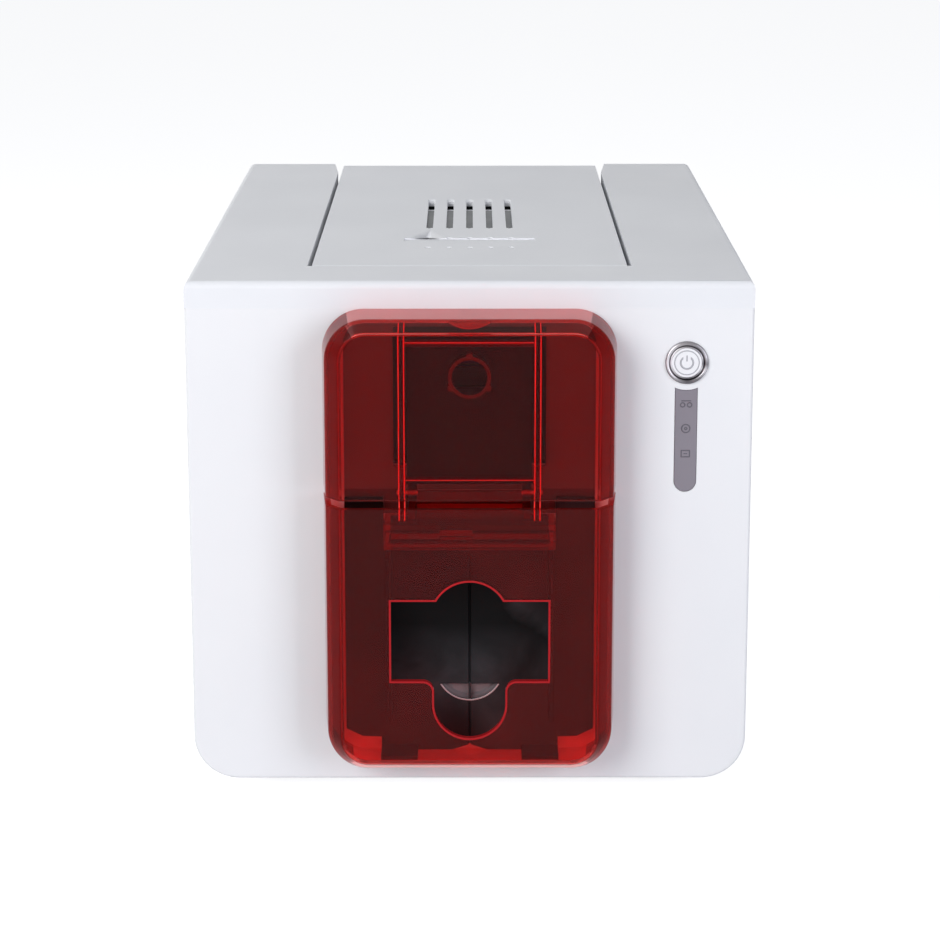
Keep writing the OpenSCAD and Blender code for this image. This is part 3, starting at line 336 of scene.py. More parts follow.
# ---------------------------------------------------------------- feeder
# The card well behind the door, with its thickness slider and the ramp down to the
# card path: three nylon mouldings, the slider grey so that a finger finds it.
slider_plastic = moulded_plastic("slider_plastic", "#9a9ca0", "#8d8f93", (0.4, 0.5), 0.4, 0.15)
complete(moulding("feeder_box", 0.3), "printer", "black_plastic", black_nylon, "feeder_box")
slider = moulding("gauge_slider", 0.25, pierced=True)
complete(slider, "gauge", "slider_grey", slider_plastic, "gauge_slider")
complete(moulding("feed_ramp", 0.25), "printer", "black_plastic", black_nylon, "feed_ramp")

# ---------------------------------------------------------------- ribbon
# A cassette of dye film between two spools: a dark moulded frame that drops in from
# above, with the film wound on both cores and stretched under the print head.
cassette_plastic = moulded_plastic("cassette_plastic", "#3a3c40", "#303236", (0.4, 0.55), 0.4, 0.15)
wound_film = moulded_plastic("wound_film", "#31316d", "#26265a", (0.18, 0.3), 0.3, 0.1)
complete(moulding("ribbon_cassette", 0.3), "printer", "dark_plastic", cassette_plastic, "ribbon_cassette")
dress(wound_film, "supply_spool", "takeup_spool", "ribbon_film")

# ---------------------------------------------------------------- electronics
# The main board stands on edge at the left, screwed on at its corners: green glass-epoxy
# with soldered parts. The sockets and the fan face the rear, the panel board the front.


def block(name, low, high):
    """A block between two corners, in mm."""
    bpy.ops.object.select_all(action="DESELECT")
    bpy.ops.mesh.primitive_cube_add(
        size=1,
        location=[(a + b) / 2 * MM for a, b in zip(low, high)],
        scale=[(b - a) * MM for a, b in zip(low, high)],
    )
    piece = bpy.context.object
    piece.name = name
    bpy.ops.object.transform_apply(location=True, rotation=True, scale=True)
    return piece


def bar(name, start, end, radius, end_radius=None, sides=64):
    """A round bar from one point to another, in mm, tapered where it has an end radius."""
    bpy.ops.object.select_all(action="DESELECT")
    a, b = Vector(start) * MM, Vector(end) * MM
    bpy.ops.mesh.primitive_cone_add(
        vertices=sides,
        radius1=radius * MM,
        radius2=(radius if end_radius is None else end_radius) * MM,
        depth=(b - a).length,
        location=(a + b) / 2,
        rotation=(b - a).to_track_quat("Z", "Y").to_euler(),
    )
    piece = bpy.context.object
    piece.name = name
    bpy.ops.object.transform_apply(location=True, rotation=True, scale=True)
    return piece


def combine(piece, operation, *others):
    """Cuts the others out of a piece, or joins them to it."""
    for other in others:
        work_on(piece)
        bpy.ops.object.modifier_add(type="BOOLEAN")
        cut = piece.modifiers[-1]
        cut.operation = operation
        cut.solver = "EXACT"
        cut.object = other
        bpy.ops.object.modifier_apply(modifier=cut.name)
        bpy.data.objects.remove(other)
    return piece


def gather(name, *pieces):
    """Several small meshes made one piece."""
    work_on(pieces[0])
    for piece in pieces[1:]:
        piece.select_set(True)
    bpy.ops.object.join()
    bpy.context.object.name = name
    return bpy.context.object


board_green = moulded_plastic("board_green", "#2f6b45", "#265a39", (0.35, 0.45), 0.6, 0.1)
fan_plastic = moulded_plastic("fan_plastic", "#2a2a2d", "#202022", (0.4, 0.55), 0.4, 0.15)
dress(board_green, "panel_board")
chip_black = moulded_plastic("chip_black", "#1c1c1f", "#151517", (0.4, 0.5), 0.3, 0.15)
ivory = moulded_plastic("connector_ivory", "#dcd6c4", "#cfc8b4", (0.35, 0.45), 0.4, 0.1)
BOARD_X = -76
BOARD_THICK = 1.6
board = block("main_board_plate", (BOARD_X - BOARD_THICK, -60, 10), (BOARD_X, 150, 122))
for y, z in ((-54, 16), (-54, 116), (144, 16), (144, 116)):
    combine(board, "DIFFERENCE", bar("board_hole", (BOARD_X - 3, y, z), (BOARD_X + 1, y, z), 1.7, sides=32))
soften(board, 0.2, 2, 50)
complete(board, "printer", "board_green", board_green, "main_board")


def on_board(name, middle, wide, high, tall, root=0):
    """A block on the board's face: its middle (y, z), its width and height, and how far it stands out."""
    y, z = middle
    return block(
        name,
        (BOARD_X + root, y - wide / 2, z - high / 2),
        (BOARD_X + tall, y + wide / 2, z + high / 2),
    )


def repeat(piece, steps):
    """A piece and its copies, each with its own mesh, set off from it by steps in mm."""
    row = [piece]
    for step in steps:
        work_on(piece)
        bpy.ops.object.duplicate()
        bpy.ops.transform.translate(value=Vector(step) * MM)
        bpy.ops.object.transform_apply(location=True, rotation=True, scale=True)
        row.append(bpy.context.object)
    return row


chips, pins, shells = [], [], []
PIN_PITCH = 2
for middle, wide, high, tall in (
    ((4, 74), 28, 28, 3), ((49, 77), 18, 14, 2), ((30, 50), 14, 10, 2), ((-35, 70), 10, 16, 2),
    ((90, 66), 16, 16, 2.4),
):
    chip = on_board("chip", middle, wide, high, tall)
    soften(chip, 0.3, 2, 50)
    chips.append(chip)
    pin = on_board("pin", (middle[0] - wide / 2 + 1, middle[1]), 0.6, high + 3.2, 0.5, -0.05)
    pins += repeat(pin, [(0, PIN_PITCH * i, 0) for i in range(1, wide // PIN_PITCH)])
for middle, wide, high, tall in (((-35, 35), 30, 10, 10), ((40, 103), 40, 6, 8), ((115, 40), 12, 20, 8)):
    shell = on_board("connector", middle, wide, high, tall)
    combine(shell, "DIFFERENCE", on_board("socket", middle, wide - 2, high - 2, tall + 1, 2))
    soften(shell, 0.25, 2, 50)
    shells.append(shell)
can = bar("capacitor", (BOARD_X, 70, 28), (BOARD_X + 14, 70, 28), 5, sides=48)
soften(can, 0.8, 3, 50)
cans = repeat(can, [(0, 14, 0), (0, 28, 0)])
resistor = on_board("resistor", (-49.2, 25.5), 1.6, 3, 0.7)
resistor_places = [(0, 17 * (i % 12), 34 * (i // 12) + 3 * (i % 3)) for i in range(1, 36)]
chips += repeat(resistor, resistor_places)
complete(gather("board_chips", *chips), "printer", "board_green", chip_black)
complete(gather("board_pins", *pins), "printer", "board_green", zinc)
complete(gather("board_connectors", *shells), "printer", "board_green", ivory)
complete(gather("board_capacitors", *cans), "printer", "board_green", aluminium)
complete(moulding("usb_socket", 0.15), "printer", "steel", zinc, "usb_socket")
complete(moulding("network_socket", 0.15), "printer", "steel", zinc, "network_socket")
complete(moulding("power_jack", 0.2), "printer", "black_plastic", black_nylon, "power_jack")
complete(moulding("fan_frame", 0.3), "printer", "black_plastic", fan_plastic, "fan_frame")
dress(fan_plastic, "fan_rotor")

# ---------------------------------------------------------------- front fascia
# One gloss white moulding over the whole front below the casing's lip, its
# outer edge rolled back a little, with openings for feeder, card slot and button.
PANEL_Y = -132
BUTTON_X = 78.3
BUTTON_Z = 165.1
LENS_LOW_Z = 120.95
LENS_HALF = 4.15
FEEDER_LOW_Z, FEEDER_HIGH_Z = 127, 178


def choose(piece, kind, test):
    """Selects the faces, edges or points that pass a test, and stays in edit mode."""
    work_on(piece)
    bpy.ops.object.mode_set(mode="EDIT")
    bpy.ops.mesh.select_mode(type={"polygons": "FACE", "edges": "EDGE", "vertices": "VERT"}[kind])
    bpy.ops.mesh.select_all(action="DESELECT")
    bpy.ops.object.mode_set(mode="OBJECT")
    for item in getattr(piece.data, kind):
        item.select = test(item)
    bpy.ops.object.mode_set(mode="EDIT")


def ends(piece, edge):
    """The two end points of an edge, in mm."""
    return [piece.data.vertices[i].co / MM for i in edge.vertices]


def at_corner(piece, edge, test):
    """Whether an edge runs straight back and its height passes a test."""
    a, b = ends(piece, edge)
    return a.x == b.x and test(a.z) and test(b.z)


def through_panel(name, z, front, back, radius):
    """A round bar below or on the button's axis, from front to back in mm behind the fascia's face."""
    return bar(name, (BUTTON_X, PANEL_Y + front, z), (BUTTON_X, PANEL_Y + back, z), radius)


fascia_white = moulded_plastic("fascia_white", "#f0f0f2", "#ecedf0", (0.1, 0.16), 2.2, 0.02)
fascia = block("front_fascia_moulded", (-102.5, PANEL_Y, 6), (102.5, PANEL_Y + 3, 185))
choose(fascia, "edges", lambda e: at_corner(fascia, e, lambda z: z < 10))
bpy.ops.mesh.bevel(offset=16.5 * MM, segments=20, affect="EDGES")
choose(fascia, "edges", lambda e: (
    all(p.y < PANEL_Y + 0.1 for p in ends(fascia, e)) and any(p.z < 184 for p in ends(fascia, e))
))
bpy.ops.mesh.bevel(offset=1.3 * MM, segments=4, affect="EDGES")
bpy.ops.object.mode_set(mode="OBJECT")
openings = [
    block("feeder_window", (-29.5, PANEL_Y - 1, FEEDER_LOW_Z), (29.5, PANEL_Y + 4, FEEDER_HIGH_Z)),
    block("slot_window", (-28.6, PANEL_Y - 1, 101.7), (28.6, PANEL_Y + 4, 108)),
    through_panel("button_hole", BUTTON_Z, -1, 6, 7.3),
    through_panel("lens_foot", LENS_LOW_Z, -1, 4, LENS_HALF),
]
lens_hole = block(
    "lens_hole",
    (BUTTON_X - LENS_HALF, PANEL_Y - 1, LENS_LOW_Z),
    (BUTTON_X + LENS_HALF, PANEL_Y + 4, 160),
)
combine(lens_hole, "DIFFERENCE", through_panel("ring_land", BUTTON_Z, -2, 5, 10.2))
combine(fascia, "DIFFERENCE", *openings, lens_hole)
combine(fascia, "UNION", through_panel("button_seat", BUTTON_Z, 2, 5.5, 9))
combine(fascia, "DIFFERENCE", through_panel("button_bore", BUTTON_Z, -1, 6, 7.3))
soften(fascia, 0.18, 2, 50)
complete(fascia, "printer", "fascia_white", fascia_white, "front_fascia")

# ---------------------------------------------------------------- button and status lens
# A turned metal ring pressed into the fascia, a white push button in it with its
# printed power sign, and a smoked lens over three small lamps.


def turned_metal(name, streaks, rough):
    """Metal turned on a lathe, its highlights and shade painted into the colour in streaks round the
    button's centre.
    """
    material = bpy.data.materials.new(name)
    tree = clear_tree(material)
    place = add(tree, "TexCoord")
    facing = add(tree, "Mapping", {
        "Vector": (place, "Object"),
        "Rotation": (math.radians(-90), 0, 0),
        "Location": (-BUTTON_X * MM, -BUTTON_Z * MM, 0),
    })
    fan = add(tree, "TexGradient", {"Vector": (facing, 0)}, gradient_type="RADIAL")
    tone = add(tree, "ValToRGB", {0: (fan, "Fac")})
    marks = tone.color_ramp.elements
    while len(marks) < len(streaks):
        marks.new(0.5)
    for mark, (turn, code) in zip(marks, streaks):
        mark.position, mark.color = turn, srgb(code)
    shader = add(tree, "BsdfPrincipled", {"Base Color": (tone, 0), "Roughness": rough, "Metallic": 1.0})
    add(tree, "OutputMaterial", {"Surface": (shader, 0)})
    return material


# the ring's bright and dark streaks are painted highlights and painted shade, not reflections
ring_painted_streaks = turned_metal("ring_painted_streaks", [
    (0.0, "#c6c2c7"), (0.12, "#9a979b"), (0.25, "#59575c"), (0.36, "#6e6c70"), (0.44, "#b5b3b8"),
    (0.49, "#6c6a6f"), (0.55, "#a09ea3"), (0.62, "#7a787d"), (0.75, "#868386"), (0.88, "#a9a6aa"),
    (1.0, "#c6c2c7"),
], 0.28)


def on_button(depth, across=0, up=0):
    """A point by the button's centre, depth mm in front of the fascia."""
    return (BUTTON_X + across, PANEL_Y - depth, BUTTON_Z + up)


ring = bar("button_ring_turned", on_button(-2.5), on_button(1.2), 7.85, sides=96)
combine(ring, "DIFFERENCE", bar("ring_bore", on_button(-4), on_button(3), 6.3, sides=96))
soften(ring, 0.75, 4, 50)
complete(ring, "printer", "chrome", ring_painted_streaks, "button_ring")
button_white = moulded_plastic("button_white", "#f4f4f6", "#efeff2", (0.12, 0.2), 1.0, 0.02)
button = bar("power_button_cap", on_button(-3.8), on_button(0.8), 6.2, sides=96)
soften(button, 0.5, 3, 50)
choose(button, "polygons", lambda f: f.normal.y < -0.99)
bpy.ops.mesh.inset(thickness=0.35 * MM, depth=-0.12 * MM)
bpy.ops.object.mode_set(mode="OBJECT")
for face in button.data.polygons:
    reach = math.hypot(face.center.x / MM - BUTTON_X, face.center.z / MM - BUTTON_Z)
    face.material_index = int(reach > 5.3)
complete(button, "button", "button_white", [button_white, ring_painted_streaks], "power_button")


def hoop(name, centre, radius, line, flat=0.5):
    """A thin printed ring that faces the front, its line flattened on the surface."""
    bpy.ops.object.select_all(action="DESELECT")
    bpy.ops.mesh.primitive_torus_add(
        location=[c * MM for c in centre],
        rotation=(math.radians(90), 0, 0),
        major_radius=radius * MM,
        minor_radius=line / 2 * MM,
        major_segments=72,
        minor_segments=10,
    )
    piece = bpy.context.object
    piece.name = name
    bpy.ops.object.transform_apply(location=True, rotation=True, scale=True)
    bpy.ops.object.mode_set(mode="EDIT")
    bpy.ops.mesh.select_all(action="SELECT")
    bpy.ops.transform.resize(value=(1, flat, 1), center_override=[c * MM for c in centre])
    bpy.ops.object.mode_set(mode="OBJECT")
    return piece


def stroke(name, centre, size):
    """A short printed line with soft ends, as wide and high as given, on a front surface."""
    x, y, z = centre
    wide, high = size
    piece = block(name, (x - wide / 2, y - 0.1, z - high / 2), (x + wide / 2, y + 0.3, z + high / 2))
    soften(piece, min(size) * 0.32, 2, 50)
    return piece


sign_grey = moulded_plastic("sign_grey", "#b3b3b8", "#acacb2", (0.3, 0.4), 0.5, 0.02)
PRINT_DEPTH = 0.68
arc = hoop("power_arc", on_button(PRINT_DEPTH), 2.25, 0.68)
combine(arc, "DIFFERENCE", block("arc_gap", on_button(3, -1.35, 1), on_button(-1, 1.35, 4)))
circle = hoop("sign_circle", on_button(PRINT_DEPTH), 4.4, 0.42)
mark = stroke("power_stroke", on_button(PRINT_DEPTH, 0, 1.6), (0.6, 2.3))
complete(gather("power_sign", arc, circle, mark), "button", "button_white", sign_grey)

smoked_lens = moulded_plastic("smoked_lens", "#868089", "#807a84", (0.14, 0.22), 1.5, 0.02)
lens_rim = moulded_plastic("lens_rim", "#6f6a73", "#69646d", (0.2, 0.3), 1.0, 0.02)
lens = moulding("status_lens", 0.35, 3, material=1)
complete(lens, "printer", "lens", [smoked_lens, lens_rim], "status_lens")
# the lamps' signs: two spools and a film, a cleaning wheel, and a card going in
glyph_grey = moulded_plastic("glyph_grey", "#5a5660", "#545059", (0.3, 0.4), 0.5, 0.02)
LENS_FACE = PANEL_Y - 0.2
LINE = 0.46
FINE_LINE = 0.42
signs = []
for across in (-1.25, 1.25):
    signs.append(hoop("spool_sign", (BUTTON_X + across, LENS_FACE, 149.4), 0.8, LINE))
signs.append(stroke("film_sign", (BUTTON_X, LENS_FACE, 150.9), (3.6, LINE)))
signs.append(hoop("wheel_sign", (BUTTON_X, LENS_FACE, 140.6), 1.5, LINE))
signs.append(hoop("hub_sign", (BUTTON_X, LENS_FACE, 140.6), 0.42, FINE_LINE))
for across, up, size in (
    (-1.5, 0, (LINE, 2.8)), (1.5, 0, (LINE, 2.8)), (0, 1.2, (3.2, LINE)), (0, -1.2, (3.2, LINE)),
    (0, 0, (1.4, FINE_LINE)),
):
    signs.append(stroke("card_sign", (BUTTON_X + across, LENS_FACE, 131.2 + up), size))
complete(gather("status_signs", *signs), "printer", "lens", glyph_grey)

# ---------------------------------------------------------------- lid
# The service lid: one ABS moulding, rolled round its hinge at the back. Five vent
# slots end in round gouges behind and run out forward in ever thinner ones.
LID_HALF = 58.2
LID_FRONT_Y = -102
SKIRT_LOW_Z = 187
TOP_Z = 195
HINGE_Y, HINGE_Z = 149, 189
VENTS_X = (-16, -8, 0, 8, 16)
VENT_FRONT_Y, VENT_REAR_Y = -20.4, 48
STEP_FRONT_Y, STEP_REAR_Y = -51.5, -43.5


def ball(name, centre, radius):
    """A round cutter, in mm."""
    bpy.ops.object.select_all(action="DESELECT")
    bpy.ops.mesh.primitive_uv_sphere_add(
        segments=48, ring_count=24, radius=radius * MM, location=[c * MM for c in centre]
    )
    piece = bpy.context.object
    piece.name = name
    bpy.ops.object.transform_apply(location=True, rotation=True, scale=True)
    return piece


lid = block("lid_panel", (-LID_HALF, LID_FRONT_Y, TOP_Z - 2.5), (LID_HALF, HINGE_Y, TOP_Z))
choose(lid, "edges", lambda e: all(p.y < LID_FRONT_Y + 0.1 and p.z > TOP_Z - 0.1 for p in ends(lid, e)))
bpy.ops.mesh.bevel(offset=1.5 * MM, segments=6, affect="EDGES")
choose(lid, "polygons", lambda f: f.normal.y > 0.9)
bpy.ops.mesh.spin(
    steps=30, angle=math.radians(140), center=(0, HINGE_Y * MM, HINGE_Z * MM), axis=(1, 0, 0)
)
bpy.ops.mesh.select_all(action="SELECT")
bpy.ops.mesh.remove_doubles(threshold=0.001 * MM)
bpy.ops.mesh.normals_make_consistent(inside=False)
bpy.ops.object.mode_set(mode="OBJECT")
side_y = LID_FRONT_Y + 0.5
combine(
    lid, "UNION",
    block("front_skirt", (-LID_HALF, LID_FRONT_Y, SKIRT_LOW_Z), (LID_HALF, LID_FRONT_Y + 2, TOP_Z - 1.6)),
    block("left_skirt", (-LID_HALF, side_y, SKIRT_LOW_Z), (-LID_HALF + 2, 137, TOP_Z - 1)),
    block("right_skirt", (LID_HALF - 2, side_y, SKIRT_LOW_Z), (LID_HALF, 137, TOP_Z - 1)),
)
soften(lid, 0.3, 3, 40)
# a shallow step crosses in front of the slots, sunk towards its rear wall
step = block("finger_step", (-25.5, STEP_FRONT_Y, TOP_Z + 0.04), (25.5, STEP_REAR_Y, TOP_Z + 1))
choose(step, "vertices", lambda v: v.co.y > (STEP_REAR_Y - 1.5) * MM and v.co.z < (TOP_Z + 0.5) * MM)
bpy.ops.transform.translate(value=(0, 0, -0.72 * MM))
bpy.ops.object.mode_set(mode="OBJECT")
combine(lid, "DIFFERENCE", step)
for x in VENTS_X:
    slot = block("vent_slot", (x - 1.35, VENT_FRONT_Y, TOP_Z - 5), (x + 1.35, VENT_REAR_Y, TOP_Z + 1))
    choose(slot, "edges", lambda e: abs(ends(slot, e)[0].z - ends(slot, e)[1].z) > 3)
    bpy.ops.mesh.bevel(offset=0.5 * MM, segments=3, affect="EDGES")
    bpy.ops.object.mode_set(mode="OBJECT")
    gouge_rear = (x, VENT_REAR_Y + 2, TOP_Z + 1.95)
    gouge_front = (x, VENT_FRONT_Y - 2, TOP_Z + 1.1)
    combine(
        lid, "DIFFERENCE", slot,
        bar("vent_gouge", gouge_rear, gouge_front, 2.6, 1.25, sides=72),
        ball("gouge_end", gouge_rear, 2.59),
        ball("gouge_cross", (x, STEP_REAR_Y + 0.8, TOP_Z + 0.8), 1.5),
        ball("gouge_tip", (x, -63.9, TOP_Z + 0.7), 1.35),
    )
complete(lid, "lid", "shell_grey", casing_plastic, "lid")

# a grey baffle close under the slots keeps dust off the ribbon; air passes behind its rear lip, whose pale
# colour is a painted highlight line
BAFFLE_HALF = 21.5
BAFFLE_REAR_Y = 37.6
baffle = block("vent_baffle", (-BAFFLE_HALF, -27, 190.4), (BAFFLE_HALF, BAFFLE_REAR_Y, 192.4))
for x in (-18.7, 18.7):
    combine(baffle, "DIFFERENCE", bar("stake_hole", (x, -24, 190), (x, -24, 193), 0.9, sides=24))
lip = block("baffle_lip", (-BAFFLE_HALF, BAFFLE_REAR_Y - 0.05, 190.2), (BAFFLE_HALF, 40, 192.45))
baffle = gather("vent_baffle", baffle, lip)
soften(baffle, 0.25, 2, 50)
# the lip's faces take the pale casing plastic: a painted highlight
for face in baffle.data.polygons:
    face.material_index = int(face.center.y > (BAFFLE_REAR_Y - 0.1) * MM)
baffle_grey = moulded_plastic("baffle_grey", "#606468", "#54585c", (0.4, 0.5), 0.4, 0.15)
complete(baffle, "lid", "dark_plastic", [baffle_grey, casing_plastic])
complete(moulding("lid_frame", 0.3, pierced=True), "lid", "dark_plastic", cassette_plastic, "lid_frame")

# ---------------------------------------------------------------- print head
# The sprung head under the lid: a folded steel bracket fixed to the lid's frame, coil
# springs, a finned aluminium carrier and the ceramic print head on it.
ceramic = moulded_plastic("head_ceramic", "#d9d2c0", "#cfc7b3", (0.2, 0.3), 0.3, 0.05)
complete(moulding("head_bracket", 0.25), "lid", "steel", sheet_steel, "head_bracket")
dress(turned_steel, "head_springs")
complete(moulding("head_carrier", 0.2), "head", "aluminium", aluminium, "head_carrier")
dress(ceramic, "print_head")

# ---------------------------------------------------------------- output tray and slot frame
# Behind the hopper a black tray holds the cards upright, scuffed grey by them towards
# its foot and where they lean at the upper right; above it is the card slot.
RIM_Y = -149


def rubbed_black(name, dark, rubbed):
    """Black ABS worn to grey in a hazy patch at the upper right and in a band along the foot."""
    material = bpy.data.materials.new(name)
    tree = clear_tree(material)
    place = add(tree, "TexCoord")
    wander = add(tree, "TexNoise", {
        "Vector": (place, "Object"), "Scale": 45, "Detail": 5, "Distortion": 0.5,
    })
    lean = add(tree, "VectorMath", {0: (place, "Object"), 1: (0.76, 0, 0.65)}, operation="DOT_PRODUCT")
    drift = add(tree, "Math", {
        0: (wander, "Fac"), 1: 14 * MM, 2: (lean, "Value"),
    }, operation="MULTIPLY_ADD")
    patch = add(tree, "MapRange", {0: (drift, 0), 1: 66 * MM, 2: 71 * MM, 3: 0.0, 4: 0.75})
    axes = add(tree, "SeparateXYZ", {0: (place, "Object")})
    band = add(tree, "MapRange", {0: (axes, "Z"), 1: 68 * MM, 2: 50 * MM, 3: 0.0, 4: 0.8})
    haze = add(tree, "Math", {0: (patch, 0), 1: (band, 0)}, operation="MAXIMUM")
    worn = add(tree, "MapRange", {0: (wander, "Fac"), 1: 0.3, 2: 0.65, 3: 0.25, 4: 1.0})
    amount = add(tree, "Math", {0: (haze, 0), 1: (worn, 0)}, operation="MULTIPLY")
    tone = add(tree, "ValToRGB", {0: (amount, 0)})
    tone.color_ramp.elements[0].color = srgb(dark)
    tone.color_ramp.elements[1].color = srgb(rubbed)
    sand = add(tree, "TexNoise", {"Vector": (place, "Object"), "Scale": 1 / (0.4 * MM), "Detail": 2})
    bump = add(tree, "Bump", {"Height": (sand, "Fac"), "Strength": 0.25, "Distance": 0.1 * MM})
    shader = add(tree, "BsdfPrincipled", {
        "Base Color": (tone, 0), "Roughness": 0.55, "Normal": (bump, 0), "Specular IOR Level": 0.06,
    })
    add(tree, "OutputMaterial", {"Surface": (shader, 0)})
    return material


tray_black = rubbed_black("tray_black", "#0d0d0e", "#3c3c3f")
complete(moulding("output_tray", 0.3, pierced=True), "printer", "black_plastic", tray_black, "output_tray")
# the half-moon thumb recess is a grey dish, its grey painted shade, with a bright rim that is a painted
# highlight, split by a black rib
MOON_Z = 50.7
MOON_TOP_Z = 44.6
MOON_Y = PANEL_Y - 2.2
# the dish's grey is painted shade and the rim's pale grey a painted highlight
recess_painted_shade = moulded_plastic("recess_painted_shade", "#6a6165", "#82787c", (0.35, 0.5), 0.5, 0.15)
recess_rim_painted_highlight = moulded_plastic("recess_rim_painted_highlight", "#b4acaf", "#a39b9e", (0.3, 0.4), 0.5, 0.05)
recess = bar("thumb_recess", (0, MOON_Y, MOON_Z), (0, PANEL_Y - 0.6, MOON_Z), 12.3, sides=96)
combine(
    recess, "DIFFERENCE",
    block("recess_top", (-20, PANEL_Y - 5, MOON_TOP_Z), (20, PANEL_Y + 5, 65)),
    bar("recess_dish", (0, PANEL_Y - 3, MOON_Z), (0, PANEL_Y - 1.2, MOON_Z), 12.0, 10.6, sides=96),
)
complete(recess, "printer", "black_plastic", recess_painted_shade)
moon_rim = hoop("thumb_recess_rim", (0, PANEL_Y - 4, MOON_Z), 12.2, 0.6)
combine(moon_rim, "INTERSECT", block("rim_half", (-20, PANEL_Y - 6, 37), (20, PANEL_Y, MOON_TOP_Z)))
complete(moon_rim, "printer", "black_plastic", recess_rim_painted_highlight)
split = block("thumb_recess_rib", (-0.45, PANEL_Y - 3.9, 37.4), (0.45, PANEL_Y - 2.3, 45.4))
soften(split, 0.15, 2, 50)
complete(split, "printer", "black_plastic", tray_black)
bezel_grey = moulded_plastic("bezel_grey", "#6f6f72", "#66666a", (0.5, 0.65), 0.5, 0.2)
BEZEL_HALF = 45.5
BEZEL_TOP_Z = 179.5
BEZEL_Y = PANEL_Y - 1.2
bezel = block("feeder_bezel_moulded", (-BEZEL_HALF, BEZEL_Y, 118.3), (BEZEL_HALF, PANEL_Y, BEZEL_TOP_Z))
choose(bezel, "edges", lambda e: at_corner(bezel, e, lambda z: z > BEZEL_TOP_Z - 0.5))
bpy.ops.mesh.bevel(offset=8 * MM, segments=12, affect="EDGES")
bpy.ops.object.mode_set(mode="OBJECT")
window = block("bezel_window", (-27.6, PANEL_Y - 3, FEEDER_LOW_Z), (27.6, PANEL_Y + 1, FEEDER_HIGH_Z))
combine(bezel, "DIFFERENCE", window)
for side in (-1, 1):
    for name, outer, low, high in (("leg", BEZEL_HALF, 115.8, 118.6), ("foot", 31.2, 109.3, 116.2)):
        low_x, high_x = sorted((side * outer, side * 22.4))
        combine(bezel, "UNION", block("bezel_" + name, (low_x, BEZEL_Y, low), (high_x, PANEL_Y, high)))
soften(bezel, 0.3, 2, 50)
# the legs and feet, seen between door and hopper, take a dark red: painted red light from the covers on the
# black plastic
for face in bezel.data.polygons:
    face.material_index = int(face.center.z < 118.7 * MM)
bezel_painted_red_light = moulded_plastic("bezel_painted_red_light", "#4a181a", "#401416", (0.5, 0.65), 0.5, 0.2)
complete(bezel, "printer", "black_plastic", [bezel_grey, bezel_painted_red_light], "feeder_bezel")


def clear_plastic(name, tint, see_through, rough, ior=1.5, glow=0):
    """Clear polycarbonate, tinted through, with dust in the gloss; where a glow is given, it is painted in
    by emission.
    """
    material = bpy.data.materials.new(name)
    tree = clear_tree(material)
    place = add(tree, "TexCoord")
    dust = add(tree, "TexNoise", {"Vector": (place, "Object"), "Scale": 60, "Detail": 5})
    gloss = add(tree, "MapRange", {0: (dust, "Fac"), 1: 0.4, 2: 0.8, 3: rough[0], 4: rough[1]})
    shader = add(tree, "BsdfPrincipled", {
        "Base Color": srgb(tint), "Roughness": (gloss, 0), "IOR": ior, "Transmission Weight": see_through,
        "Specular Tint": srgb("#6a6264"), "Emission Color": srgb(tint), "Emission Strength": glow,
    })
    add(tree, "OutputMaterial", {"Surface": (shader, 0)})
    return material


door_red = clear_plastic("door_red", "#f0645e", 0.994, (0.02, 0.06))
hopper_red = clear_plastic("hopper_red", "#f4605a", 0.975, (0.02, 0.06))
# a darker copy of the red for painted shade on the side walls, and a lighter one for painted light on the
# door's top wall and tab
red_painted_shade = clear_plastic("red_painted_shade", "#9c1e1c", 0.9, (0.03, 0.08), 1.15)
red_painted_light = clear_plastic("red_painted_light", "#f07a74", 0.72, (0.04, 0.1))
# the rim and edge reds glow by emission, a painted glow; the edge red also paints bright lines along bevels
rim_red = clear_plastic("rim_red", "#bd2328", 0.2, (0.1, 0.18), 1.5, 0.02)
edge_painted_glow = clear_plastic("edge_painted_glow", "#f4413b", 0.1, (0.1, 0.18), 1.5, 0.4)
frame_red = clear_plastic("frame_red", "#c83c38", 0.97, (0.03, 0.08), 1.3)
slot_frame = block("slot_frame_moulded", (-31, RIM_Y + 2, 99.5), (31, PANEL_Y, 109))
combine(
    slot_frame, "UNION",
    block("slot_lips", (-30.2, RIM_Y, 101.9), (30.2, RIM_Y + 3, 106.8)),
    block("bracket_band", (-22, RIM_Y + 3, 107.8), (22, PANEL_Y, 117.9)),
)
combine(
    slot_frame, "DIFFERENCE",
    block("card_slot", (-28.6, RIM_Y - 1, 102.7), (28.6, PANEL_Y + 1, 106)),
    block("slot_notch", (-10.7, RIM_Y - 1, 102.7), (1, RIM_Y + 8, 107.4)),
    block("band_pocket", (-19.5, RIM_Y + 5, 110.5), (19.5, PANEL_Y + 1, 115.9)),
)
# its bevels take the glowing edge red: painted bright edge lines
soften(slot_frame, 0.35, 2, 50, 1)
# the downward faces of the slot's throat, above the card, are black
for face in slot_frame.data.polygons:
    if 102.6 < face.center.z / MM < 107.5 and abs(face.center.x) < 28.7 * MM and face.normal.z < -0.9:
        face.material_index = 2
